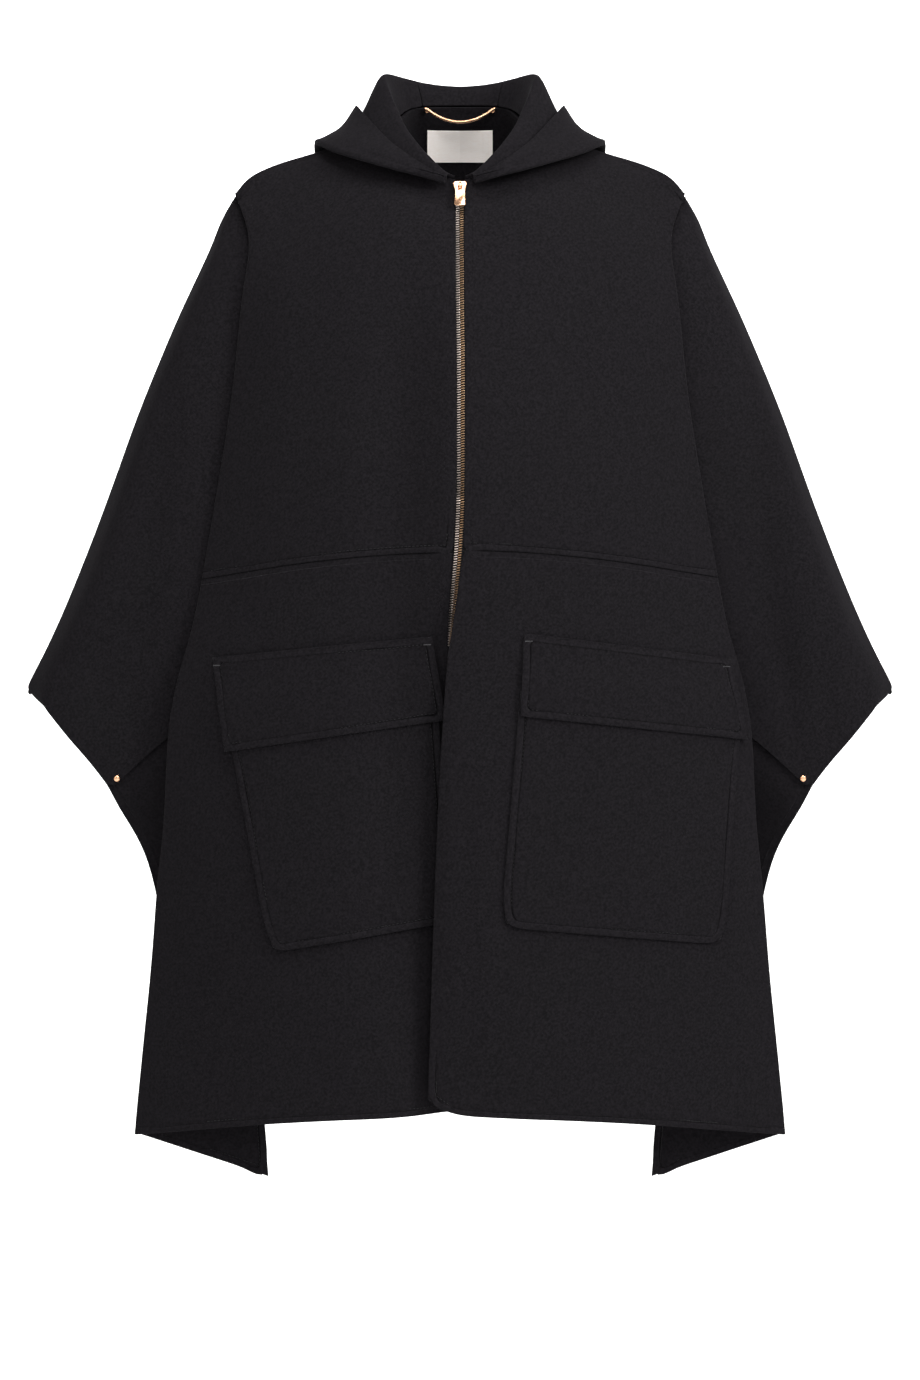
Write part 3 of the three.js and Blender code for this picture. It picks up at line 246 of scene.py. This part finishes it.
def wool():
    """Near-black double wool: felted ground, short brushed nap and a faint bloom at grazing angles."""
    mat, tree, shader, where = material("brushed_wool", (0.0056, 0.005, 0.0059), 0.95)
    felt = noise_node(tree, where, 430, 6)
    nap = noise_node(tree, where, 1200, 3, stretch=(1, 1, 0.28), turn=(0, 0.12, 0))
    cross = noise_node(tree, where, 1500, 2, stretch=(0.4, 1, 1))
    colour = ramp(tree, felt, 0.36, 0.64, (0.0035, 0.0031, 0.0037), (0.0071, 0.0063, 0.0074))
    tree.links.new(shaded(tree, colour), shader.inputs["Base Color"])
    first = bump(tree, felt, 0.3 * MM, 0.25)
    second = bump(tree, nap, 0.25 * MM, 0.35, first)
    tree.links.new(bump(tree, cross, 0.15 * MM, 0.3, second), shader.inputs["Normal"])
    shader.inputs["Sheen Weight"].default_value = 0.018
    shader.inputs["Sheen Roughness"].default_value = 0.5
    shader.inputs["Sheen Tint"].default_value = (0.8, 0.76, 0.82, 1)
    shader.inputs["Specular IOR Level"].default_value = 0.045
    return mat


def thread():
    """Black polyester thread, a little glossier than the wool."""
    mat, tree, shader, where = material("black_thread", (0.006, 0.0056, 0.0063), 0.6)
    tree.links.new(bump(tree, noise_node(tree, where, 2600, 1), 0.08 * MM), shader.inputs["Normal"])
    shader.inputs["Specular IOR Level"].default_value = 0.15
    return mat


def tack_thread():
    """Light grey thread of the bartacks."""
    mat, tree, shader, where = material("grey_tack_thread", (0.022, 0.021, 0.023), 0.6)
    tree.links.new(bump(tree, noise_node(tree, where, 2600, 1), 0.08 * MM), shader.inputs["Normal"])
    return mat


def tooth_metal(name, colour, roughness):
    """Satin metal of the teeth."""
    mat, tree, shader, where = material(name, colour, roughness, 1.0)
    tree.links.new(bump(tree, noise_node(tree, where, 1500, 2), 0.03 * MM, 0.4), shader.inputs["Normal"])
    return mat


def tape():
    """Woven zip tape."""
    mat, tree, shader, where = material("zip_tape_weave", (0.008, 0.0078, 0.0085), 0.85)
    wave = tree.nodes.new("ShaderNodeTexWave")
    wave.bands_direction = "Z"
    wave.inputs["Scale"].default_value = 260
    wave.inputs["Distortion"].default_value = 1.5
    tree.links.new(where, wave.inputs["Vector"])
    tree.links.new(bump(tree, wave.outputs["Fac"], 0.2 * MM, 0.6), shader.inputs["Normal"])
    return mat


def rose_gold():
    """Polished pale rose gold, with fine wear."""
    mat, tree, shader, where = material("rose_gold_plate", (0.67, 0.38, 0.22), 0.24, 1.0)
    wear = noise_node(tree, where, 420, 5)
    colour = ramp(tree, wear, 0.35, 0.7, (0.63, 0.35, 0.2), (0.72, 0.43, 0.27))
    tree.links.new(colour, shader.inputs["Base Color"])
    rough = tree.nodes.new("ShaderNodeMapRange")
    rough.inputs["To Min"].default_value = 0.14
    rough.inputs["To Max"].default_value = 0.3
    tree.links.new(wear, rough.inputs["Value"])
    tree.links.new(rough.outputs["Result"], shader.inputs["Roughness"])
    tree.links.new(bump(tree, noise_node(tree, where, 1500, 2), 0.03 * MM, 0.4), shader.inputs["Normal"])
    return mat


def label_weave():
    """Cream satin weave, bare of any lettering."""
    mat, tree, shader, where = material("label_weave", (0.97, 0.9, 0.85), 0.6)
    rows = noise_node(tree, where, 1300, 2, stretch=(0.12, 1, 1.6))
    picks = noise_node(tree, where, 1500, 2, stretch=(1.6, 1, 0.2))
    colour = ramp(tree, rows, 0.3, 0.7, (0.95, 0.87, 0.81), (0.99, 0.94, 0.9))
    tree.links.new(colour, shader.inputs["Base Color"])
    first = bump(tree, rows, 0.15 * MM, 0.5)
    tree.links.new(bump(tree, picks, 0.1 * MM, 0.4, first), shader.inputs["Normal"])
    shader.inputs["Sheen Weight"].default_value = 0.15
    return mat


WOOL = wool()
THREAD = thread()
TAPE = tape()
GOLD = rose_gold()
LABEL = label_weave()
TACK = tack_thread()
# Both rows are one metal: the right row's paler colour is painted light and the left row's darker colour
# is painted shade.
TEETH = {
    "right": tooth_metal("teeth_lit_row_painted_light", (0.42, 0.35, 0.31), 0.3),
    "left": tooth_metal("teeth_shaded_row_painted_shade", (0.28, 0.175, 0.1), 0.32),
}


# Building blocks
def new_object(name, bm, mat, smooth=True):
    mesh = bpy.data.meshes.new(name)
    for face in bm.faces:
        face.smooth = smooth
    bm.to_mesh(mesh)
    bm.free()
    mesh.materials.append(mat)
    obj = bpy.data.objects.new(name, mesh)
    bpy.context.scene.collection.objects.link(obj)
    return obj


def place(piece, body=BODY, nodes=()):
    """A finished piece rides on its body and stands for its CAD nodes."""
    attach(piece, body)
    if nodes:
        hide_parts(*nodes)


def soft_lines(creases, x, z):
    """Sum of the soft troughs and ridges at a place seen from ahead, in the table's own unit."""
    total = 0.0
    for c in creases:
        start, end = Vector(c["start"]) * MM, Vector(c["end"]) * MM
        line = end - start
        here = Vector((x, z)) - start
        along = max(0.0, min(1.0, here.dot(line) / line.length_squared))
        away = (here - line * along).length / (c["width"] * MM)
        if away < 3:
            taper = sin(pi * min(1.0, max(0.0, along * 0.84 + 0.08)))
            total += c["depth"] * exp(-away * away) * taper
    return total


def crease_push(creases, x, z):
    return soft_lines(creases, x, z) * MM


def soft_hand(p, amount):
    """The slight unevenness of heavy cloth."""
    return amount * noise.noise(p * 11.0) + 0.4 * amount * noise.noise(p * 27.0)


def smoothstep(low, high, value):
    t = max(0.0, min(1.0, (value - low) / (high - low)))
    return t * t * (3 - 2 * t)


def fade(name, value):
    """The share, 0 to 1, of the effect that is named in the table of fades."""
    return smoothstep(*FADES[name], value)


def front_push(p):
    """How far the fronts, and all that lies on them, move outwards at a place."""
    keep = fade("beside_zip", abs(p.x)) * fade("below_collar", p.z)
    return keep * (crease_push(FRONT_CREASES, p.x, p.z) + soft_hand(Vector((p.x, 0.0, p.z)), FRONT_HAND))


def wing_push(p):
    """How far the wings' front layers move outwards: creases alike on both sides, but not the same."""
    across = abs(p.x)
    keep = fade("below_shoulder", p.z) * fade("out_on_wing", across)
    drift = WING_DRIFT * noise.noise(Vector((p.x * 3, 0.3, p.z * 3)))
    pushed = crease_push(WING_CREASES, across + drift, p.z)
    return keep * (pushed + soft_hand(Vector((p.x, 0.4, p.z)), WING_HAND))


def back_push(p):
    """How far the back moves outwards."""
    pushed = crease_push(BACK_CREASES, p.x, p.z)
    return fade("down_back", p.z) * (pushed + soft_hand(Vector((p.x, 0.8, p.z)), BACK_HAND))


def hood_settle(p):
    """The hood's inner lower edge comes down to the back's neck edge."""
    near = fade("hood_below", p.z) * fade("hood_ahead", p.y)
    return NECK_DROP * near * fade("hood_middle", abs(p.x)) * fade("hood_behind", p.y)


def everywhere(p):
    return 1.0


def nowhere(p):
    return 0.0


def waist_seam_painted_shade(p):
    """The fronts' edges at the waist seam, where painted shade darkens the colour."""
    return fade("waist_from", p.z) * fade("waist_to", p.z)


def waist_welt(p):
    """The stitched welt above the waist seam, which ends at the zip's tape."""
    return fade("waist_welt", p.z) * fade("past_zip_tape", abs(p.x))


def hem_welt(p):
    """The stitched welt along the hem."""
    return fade("hem_welt", p.z)


# Painted shade on the fronts and on all that lies on them.
def front_painted_shade(p):
    return soft_lines(FRONT_PAINTED_SHADE, p.x, p.z)


# Painted shade on the wings, beside the body's fold.
def wing_painted_shade(p):
    return soft_lines(WING_PAINTED_SHADE, abs(p.x), p.z)


def wall_copy(node, thickness):
    """A merged copy of a CAD wall in quads, with its rim and its two cloth faces told apart."""
    bm = bmesh.new()
    bm.from_mesh(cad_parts[node].data)
    bmesh.ops.remove_doubles(bm, verts=bm.verts, dist=0.01 * MM)
    bm.verts.layers.float.new("crease_vert")
    bm.verts.layers.float.new("shade")
    bmesh.ops.join_triangles(
        bm, faces=bm.faces, angle_face_threshold=radians(75), angle_shape_threshold=radians(150)
    )
    across = {e for e in bm.edges if abs(e.calc_length() - thickness) < 0.012 * MM}
    rim = [f for f in bm.faces if len(f.edges) == 4 and sum(e in across for e in f.edges) == 2]
    return bm, set(rim)


def regions(bm, rim):
    """The connected stretches of cloth on either side of the rim."""
    left = set(bm.faces) - rim
    found = []
    while left:
        stack = [left.pop()]
        region = []
        while stack:
            face = stack.pop()
            region.append(face)
            for edge in face.edges:
                for other in edge.link_faces:
                    if other in left:
                        left.remove(other)
                        stack.append(other)
        found.append(region)
    return sorted(found, key=lambda r: -sum(f.calc_area() for f in r))[:2]


def inset(bm, faces, width):
    return bmesh.ops.inset_region(
        bm, faces=faces, thickness=width, use_even_offset=True, use_boundary=True
    )["faces"]


def sharp_corners(bm, rim):
    """The rim's points where the outline turns sharply."""
    found = []
    for v in bm.verts:
        border = [e for e in v.link_edges if sum(f in rim for f in e.link_faces) == 1]
        if len(border) == 2:
            first, second = (e.other_vert(v).co - v.co for e in border)
            if first.angle(-second) > radians(CORNER_TURN):
                found.append(v)
    return found


def on_form(bm, form):
    """Brings points that an inset has thrown off the wall back to it."""
    for v in bm.verts:
        spot, normal, index, away = form.find_nearest(v.co)
        if away > STRAY:
            v.co = spot


def key(p):
    """A place as a key, so that points are told by where they are."""
    return tuple(round(c, 6) for c in p)


def add_welt(bm, region, form, welt, stitched):
    """Insets the edge, the raised welt and the groove of one side, and returns the groove's bottom."""
    shade = bm.verts.layers.float["shade"]
    on_form(bm, form)
    inset(bm, region, welt - ROUND - GROOVE)
    outer_band = inset(bm, region, GROOVE)
    inner_band = inset(bm, region, GROOVE)
    on_form(bm, form)
    middle = {v for f in outer_band for v in f.verts} & {v for f in inner_band for v in f.verts}
    raised = {v for f in outer_band for v in f.verts} - middle
    # Painted highlight on the welt.
    for v in raised:
        v[shade] = WELT_PAINTED_HIGHLIGHT * stitched(v.co)
    # Painted shade in the groove, which is also sunk.
    for v in middle:
        share = stitched(v.co)
        v[shade] = share
        v.co -= v.normal * GROOVE_DEPTH * share
    loop = {e for f in inner_band for e in f.edges if e.verts[0] in middle and e.verts[1] in middle}
    return [tuple(v.co.copy() for v in e.verts) for e in loop]


def cloth(node, push, outward, welt=WELT, stitched=everywhere, seam=nowhere, nap=nowhere):
    """The cloth of one panel: rounded edges, a stitched welt, the main creases, and painted shade from
    seam and nap.
    """
    bm, rim = wall_copy(node, CLOTH)
    form = BVHTree.FromBMesh(bm)
    corners = {key(v.co) for v in sharp_corners(bm, rim)}
    edge = {key(v.co) for f in rim for v in f.verts}
    seams = []
    for region in regions(bm, rim):
        inset(bm, region, ROUND)
        if welt:
            seams.append(add_welt(bm, region, form, welt, stitched))
    if not welt:
        on_form(bm, form)
    shade = bm.verts.layers.float["shade"]
    held = bm.verts.layers.float["crease_vert"]
    for v in bm.verts:
        here = key(v.co)
        if here in corners:
            v[held] = CORNER_HOLD
        # Painted shade on the rim, where the seam function asks for it.
        if here in edge:
            v[shade] = seam(v.co)
    piece = new_object(f"{node}_cloth", bm, WOOL)
    subdivide(piece)
    shades = piece.data.attributes["shade"].data
    for v in piece.data.vertices:
        # nap adds painted shade to the colour, where the cloth lies in shade.
        shades[v.index].value += nap(v.co)
        v.co += outward * push(v.co)
    return piece, seams


def evaluated(piece):
    """A new mesh of the piece with its modifiers."""
    graph = bpy.context.evaluated_depsgraph_get()
    return bpy.data.meshes.new_from_object(piece.evaluated_get(graph))


def subdivide(piece):
    """Subdivision that passes close by the wall's own points, applied to the mesh."""
    smooth = piece.modifiers.new("smooth", "SUBSURF")
    smooth.levels = smooth.render_levels = SMOOTH_LEVELS
    smooth.use_limit_surface = False
    aims = [v.co.copy() for v in piece.data.vertices]
    for turn in range(SMOOTH_ROUNDS):
        trial = evaluated(piece)
        for v, aim in zip(piece.data.vertices, aims):
            drawn_in = aim - trial.vertices[v.index].co
            if drawn_in.length > SOFT:
                v.co += drawn_in * (1 - SOFT / drawn_in.length) * SMOOTH_CATCH
        bpy.data.meshes.remove(trial)
        piece.data.update()
    mesh = evaluated(piece)
    piece.modifiers.clear()
    old = piece.data
    piece.data = mesh
    bpy.data.meshes.remove(old)


def seam_lines(segments):
    """The seam's short segments, joined end to end into lines, in the same order each run."""
    links = {}
    for a, b in segments:
        for p, q in ((a, b), (b, a)):
            links.setdefault(key(p), []).append(q)
    lines = []
    unused = {key(p): p for s in segments for p in s}
    while unused:
        first, p = next(iter(sorted(unused.items())))
        line = [p]
        del unused[first]
        grow = True
        while grow:
            grow = False
            for q in sorted(links[key(line[-1])], key=key):
                k = key(q)
                if k in unused:
                    line.append(q)
                    del unused[k]
                    grow = True
                    break
        lines.append(line + [line[0]])
    return lines


def stitch_places(line):
    """Places at even steps along a line, each with the line's direction there."""
    spare = 0.0
    for a, b in zip(line, line[1:]):
        step = b - a
        if step.length > LONGEST_STEP or step.length < 1e-6:
            continue
        at = spare
        while at < step.length:
            yield a + step * (at / step.length), step
            at += STITCH_PITCH
        spare = at - step.length


def stitches(name, segments, surface, wanted):
    """Small rounded stitches along the bottom of a seam's groove."""
    bm = bmesh.new()
    tree = BVHTree.FromObject(surface, bpy.context.evaluated_depsgraph_get())
    for line in seam_lines(segments):
        for p, step in stitch_places(line):
            if not wanted(p):
                continue
            spot, normal, index, away = tree.find_nearest(p)
            along = (step - normal * step.dot(normal)).normalized()
            turn = Matrix((along, normal.cross(along), normal)).transposed().to_4x4()
            add_stitch(bm, Matrix.Translation(spot + normal * STITCH_LIFT) @ turn)
    return new_object(name, bm, THREAD)


def add_stitch(bm, matrix):
    """One stitch: a short capsule, half sunk into the cloth."""
    size = Matrix.Diagonal((STITCH_LENGTH / 2, STITCH_R * 1.2, STITCH_R, 1))
    bmesh.ops.create_icosphere(bm, subdivisions=1, radius=1.0, matrix=matrix @ size)


# Cloth panels
def place_cloth(piece, node, flat, area):
    place(piece, nodes=[node])


OUT = Vector((0, -1, 0))
BACK = Vector((0, 1, 0))
DOWN = Vector((0, 0, -1))


def sheet_size(piece):
    """A rectangle round the panel as it was cut, and the cloth's area in it."""
    area = sum(p.area for p in piece.data.polygons) / 2
    low = Vector(min(v.co[i] for v in piece.data.vertices) for i in range(3))
    high = Vector(max(v.co[i] for v in piece.data.vertices) for i in range(3))
    width, length = (high.x - low.x) * FULLNESS, (high.z - low.z) * FULLNESS
    return (max(width, area / length), length), area


def make_cloth():
    """Each panel's cloth, and the seams of those that are stitched."""
    made, seams = {}, {}
    for node in FRONTS:
        stitched = waist_welt if node.startswith("upper") else hem_welt
        made[node], seams[node] = cloth(
            node, front_push, OUT, stitched=stitched, seam=waist_seam_painted_shade, nap=front_painted_shade
        )
    for node in POCKETS:
        made[node], seams[node] = cloth(node, front_push, OUT, nap=front_painted_shade)
    for node in WINGS:
        made[node] = cloth(node, wing_push, OUT, welt=None, nap=wing_painted_shade)[0]
    made["back"] = cloth("back", back_push, BACK, stitched=hem_welt)[0]
    for node in HOOD:
        made[node] = cloth(node, hood_settle, DOWN, welt=None)[0]
    return made, seams


CLOTHS, SEAMS = make_cloth()
for node, piece in CLOTHS.items():
    flat, area = sheet_size(piece)
    place_cloth(piece, node, flat, area)


# Zip
def cut_points(node, at, facing):
    """The points where a plane cuts a CAD node, in the same order each run."""
    bm = bmesh.new()
    bm.from_mesh(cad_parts[node].data)
    cut = bmesh.ops.bisect_plane(
        bm, geom=bm.verts[:] + bm.edges[:] + bm.faces[:], plane_co=at, plane_no=facing
    )["geom_cut"]
    points = [v.co.copy() for v in cut if isinstance(v, bmesh.types.BMVert)]
    bm.free()
    return sorted(points, key=tuple)


def section(node, z):
    """Middle of a CAD node's cut at a height, and the direction across it."""
    points = cut_points(node, (0, 0, z), (0, 0, 1))
    pairs = ((a, b) for a in points for b in points)
    low, high = max(pairs, key=lambda pair: (pair[1] - pair[0]).length)
    if high.x < low.x:
        low, high = high, low
    return (low + high) / 2, (high - low).normalized()


def zip_teeth():
    """The closed chain: two rows of teeth, half a pitch apart, interlocked along the middle."""
    low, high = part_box("zip_chain")
    top, bottom = high[2] - CHAIN_TOP, low[2] + CHAIN_FOOT
    spine = [section("zip_chain", top + (bottom - top) * i / ZIP_STEPS) for i in range(ZIP_STEPS + 1)]
    rows = {name: bmesh.new() for name in SIDES}
    slant = Matrix.Rotation(radians(TOOTH_SLANT), 4, "Y")
    count = 2 * int((top - bottom) / TOOTH_PITCH)
    for i in range(count):
        s = i / count * ZIP_STEPS
        k = min(ZIP_STEPS - 1, int(s))
        centre = spine[k][0].lerp(spine[k + 1][0], s - k)
        across = spine[k][1].lerp(spine[k + 1][1], s - k).normalized()
        down = (spine[k + 1][0] - spine[k][0]).normalized()
        ahead = down.cross(across).normalized()
        name = "right" if i % 2 else "left"
        side = SIDES[name]
        turn = Matrix((across * side, ahead, across.cross(ahead) * side)).transposed().to_4x4()
        add_tooth(rows[name], Matrix.Translation(centre + across * side * ROW_OFFSET) @ turn @ slant)
    made = []
    for name, bm in rows.items():
        bmesh.ops.recalc_face_normals(bm, faces=bm.faces)
        made.append(new_object(f"zip_teeth_{name}", bm, TEETH[name], smooth=False))
    return made


def add_tooth(bm, matrix):
    """One tooth: a short bar with its edges taken off."""
    size = Matrix.Diagonal((TOOTH_LENGTH, TOOTH_DEPTH, TOOTH_HEIGHT, 1))
    made = bmesh.ops.create_cube(bm, size=1.0, matrix=matrix @ size)["verts"]
    edges = dict.fromkeys(e for v in made for e in v.link_edges)
    bmesh.ops.bevel(
        bm, geom=list(edges), offset=TOOTH_BEVEL, segments=1, profile=0.5, affect="EDGES", material=-1
    )


def polished(name, node, bevel):
    """A CAD metal piece with its edges rounded."""
    bm = bmesh.new()
    bm.from_mesh(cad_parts[node].data)
    bmesh.ops.remove_doubles(bm, verts=bm.verts, dist=0.01 * MM)
    bmesh.ops.dissolve_limit(
        bm, angle_limit=radians(FLAT_TURN), verts=bm.verts, edges=bm.edges, use_dissolve_boundaries=False
    )
    sharp = [e for e in bm.edges if len(e.link_faces) == 2 and e.calc_face_angle() > radians(SHARP_TURN)]
    bmesh.ops.bevel(
        bm, geom=sharp, offset=bevel, segments=2, profile=0.5,
        affect="EDGES", material=-1, clamp_overlap=True,
    )
    return new_object(name, bm, GOLD)


for teeth in zip_teeth():
    place(teeth, nodes=["zip_chain"])
slider = polished("zip_slider_body", "zip_slider", METAL_BEVEL)
place(slider, nodes=["zip_slider"])
pull = polished("zip_pull_tab", "zip_pull", SMALL_BEVEL)
place(pull, body="pull", nodes=["zip_pull"])
for side in SIDES:
    stop = polished(f"zip_top_stop_{side}", f"zip_stop_{side}", SMALL_BEVEL)
    place(stop, nodes=[f"zip_stop_{side}"])


# Trim
def hanger_spine():
    """Middles of the hanger's rod from end to end, and how far along it each one lies."""
    xs = [v.co.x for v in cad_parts["hanger_chain"].data.vertices]
    start, end = min(xs), max(xs)
    spine = []
    for i in range(HANGER_STEPS + 1):
        x = start + HANGER_END + (end - start - 2 * HANGER_END) * i / HANGER_STEPS
        points = cut_points("hanger_chain", (x, 0, 0), (1, 0, 0))
        spine.append(sum(points, Vector()) / len(points))
    lengths = [0.0]
    for a, b in zip(spine, spine[1:]):
        lengths.append(lengths[-1] + (b - a).length)
    return spine, lengths


def hanger_chain():
    """A snake chain of close rings along the hanging curve."""
    spine, lengths = hanger_spine()
    bm = bmesh.new()
    ring = bmesh.ops.create_circle(bm, cap_ends=True, segments=RING_SIDES, radius=1.0)["verts"]
    count = int(lengths[-1] / RING_PITCH) * 3
    here = Matrix()
    for i in range(count + 1):
        travelled = lengths[-1] * i / count
        k = max(j for j in range(HANGER_STEPS + 1) if lengths[j] <= travelled + 1e-9)
        k = min(HANGER_STEPS - 1, k)
        share = (travelled - lengths[k]) / (lengths[k + 1] - lengths[k])
        along = (spine[k + 1] - spine[k]).normalized()
        radius = RING_WAIST if i % 3 == 0 else RING_R
        turn = along.to_track_quat("Z", "Y").to_matrix().to_4x4()
        size = Matrix.Diagonal((radius, radius, radius, 1))
        there = Matrix.Translation(spine[k].lerp(spine[k + 1], share)) @ turn @ size
        if i:
            edges = [e for e in bm.edges if e.verts[0] in ring and e.verts[1] in ring]
            made = bmesh.ops.extrude_edge_only(bm, edges=edges)["geom"]
            ring = [v for v in made if isinstance(v, bmesh.types.BMVert)]
        bmesh.ops.transform(bm, verts=ring, matrix=there @ here.inverted())
        here = there
    bmesh.ops.holes_fill(bm, edges=[e for e in bm.edges if e.is_boundary], sides=RING_SIDES)
    bmesh.ops.recalc_face_normals(bm, faces=bm.faces)
    return new_object("hanger_snake_chain", bm, GOLD)


def dress(node, mat):
    """A CAD node that stays as it is, in its own material."""
    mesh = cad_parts[node].data
    mesh.materials.clear()
    mesh.materials.append(mat)


place(hanger_chain(), nodes=["hanger_chain"])
for side in SIDES:
    for node in (f"stud_{side}", f"stud_cap_{side}", f"hanger_stud_{side}"):
        place(polished(f"{node}_dome", node, STUD_BEVEL), nodes=[node])
for side in SIDES:
    dress(f"zip_tape_{side}", TAPE)
dress("label", LABEL)


# Stitching in the grooves
def along_waist(p):
    return p.z < SEWN_WAIST_Z


def along_hem(p):
    return p.z < SEWN_HEM_Z


def sewn(node):
    """Which part of a panel's seams is sewn through: waist seam, hem or all round."""
    if node.startswith("upper"):
        return along_waist
    return along_hem if node.startswith("lower") else everywhere


for node, loops in SEAMS.items():
    segments = [s for loop in loops for s in loop]
    place(stitches(f"{node}_stitches", segments, CLOTHS[node], sewn(node)))


# Bartacks at the flaps' top corners
def bartacks(name, flap):
    """A short bar of close light stitches at either top corner, on the row of stitching."""
    tree = BVHTree.FromObject(flap, bpy.context.evaluated_depsgraph_get())
    bm = bmesh.new()
    size = Matrix.Diagonal((*TACK_SIZE, 1))
    for inwards in (1, -1):
        corner = max(flap.data.vertices, key=lambda v: v.co.z - inwards * v.co.x).co
        for i in range(TACK_COUNT):
            x = corner.x + inwards * (TACK_INSET + (i + 0.5) * TACK_WIDTH / TACK_COUNT)
            well_ahead = Vector((x, -0.6, corner.z - TACK_DROP))
            spot, normal, index, away = tree.ray_cast(well_ahead, BACK)
            if spot is None:
                continue
            turn = normal.to_track_quat("Z", "Y").to_matrix().to_4x4()
            at = Matrix.Translation(spot + normal * STITCH_LIFT)
            bmesh.ops.create_icosphere(bm, subdivisions=1, radius=1.0, matrix=at @ turn @ size)
    return new_object(name, bm, TACK)


for side in SIDES:
    place(bartacks(f"flap_bartacks_{side}", CLOTHS[f"pocket_flap_{side}"]))


# Stage
PAPER_PROFILE = [  # (y, z) in metres, from the floor's front edge up the backdrop
    (-6.5, -1.42), (5.6, -1.42), (6.1, -1.32), (6.4, -1.05), (6.5, -0.6), (6.5, 7.0),
]
PAPER_WIDTH = 18.0
WORLD_STRENGTH = 0.24
# Places and sizes in metres, power in watts.
LAMPS = [
    {"name": "front", "at": (0.3, -4.2, 0.9), "aim": (0, 0, -0.3), "size": (1.6, 1.6), "power": 48},
    {"name": "key", "at": (2.9, -2.3, 1.3), "aim": (0, 0, -0.45), "size": (1.4, 1.4), "power": 165},
    {"name": "fill", "at": (-2.8, -2.9, 0.4), "aim": (0, 0, -0.5), "size": (2.0, 2.0), "power": 44},
    {"name": "collar", "at": (0.25, -1.3, 0.8), "aim": (0, 0, 0.02), "size": (0.4, 0.4), "power": 10},
    {"name": "top", "at": (0, -1.1, 2.5), "aim": (0, 0, -0.4), "size": (2.4, 1.0), "power": 80},
    {"name": "rear", "at": (0, 4.7, 2.2), "aim": (0, 6.5, -0.6), "size": (5.0, 1.4), "power": 150},
]
PICTURE_HEIGHT = 1.38  # metres of the scene in the picture, at the garment's front
CAMERA_DISTANCE = 3.6
CAMERA_Z = -0.54
FRONT_PLANE_Y = -0.1


def studio():
    """A white seamless floor and backdrop."""
    bm = bmesh.new()
    row = [bm.verts.new((-PAPER_WIDTH / 2, y, z)) for y, z in PAPER_PROFILE]
    edges = [bm.edges.new(pair) for pair in zip(row, row[1:])]
    made = bmesh.ops.extrude_edge_only(bm, edges=edges)["geom"]
    moved = [v for v in made if isinstance(v, bmesh.types.BMVert)]
    bmesh.ops.translate(bm, verts=moved, vec=(PAPER_WIDTH, 0, 0))
    mat, tree, shader, where = material("white_paper", (0.92, 0.92, 0.92), 0.9)
    shader.inputs["Emission Color"].default_value = (1, 1, 1, 1)
    shader.inputs["Emission Strength"].default_value = 0.4
    new_object("seamless_paper", bm, mat)


def softbox(lamp):
    """A rectangular area light, aimed at a place."""
    data = bpy.data.lights.new(lamp["name"], "AREA")
    data.shape = "RECTANGLE"
    data.size, data.size_y = lamp["size"]
    data.energy = lamp["power"]
    obj = bpy.data.objects.new(lamp["name"], data)
    bpy.context.scene.collection.objects.link(obj)
    obj.location = lamp["at"]
    obj.rotation_euler = (Vector(lamp["aim"]) - Vector(lamp["at"])).to_track_quat("-Z", "Y").to_euler()


def lights():
    """The softboxes, and a dim white world."""
    world = bpy.data.worlds.new("studio_world")
    world.use_nodes = True
    world.node_tree.nodes["Background"].inputs["Color"].default_value = (1, 1, 1, 1)
    world.node_tree.nodes["Background"].inputs["Strength"].default_value = WORLD_STRENGTH
    bpy.context.scene.world = world
    for lamp in LAMPS:
        softbox(lamp)


def camera():
    """Level, straight on, at the photograph's distance and height."""
    data = bpy.data.cameras.new("camera")
    data.sensor_width = 36
    data.lens = data.sensor_width * CAMERA_DISTANCE / PICTURE_HEIGHT
    obj = bpy.data.objects.new("camera", data)
    bpy.context.scene.collection.objects.link(obj)
    obj.location = (0, FRONT_PLANE_Y - CAMERA_DISTANCE, CAMERA_Z)
    obj.rotation_euler = (pi / 2, 0, 0)
    bpy.context.scene.camera = obj


studio()
lights()
camera()
bpy.context.scene.view_settings.view_transform = "Standard"
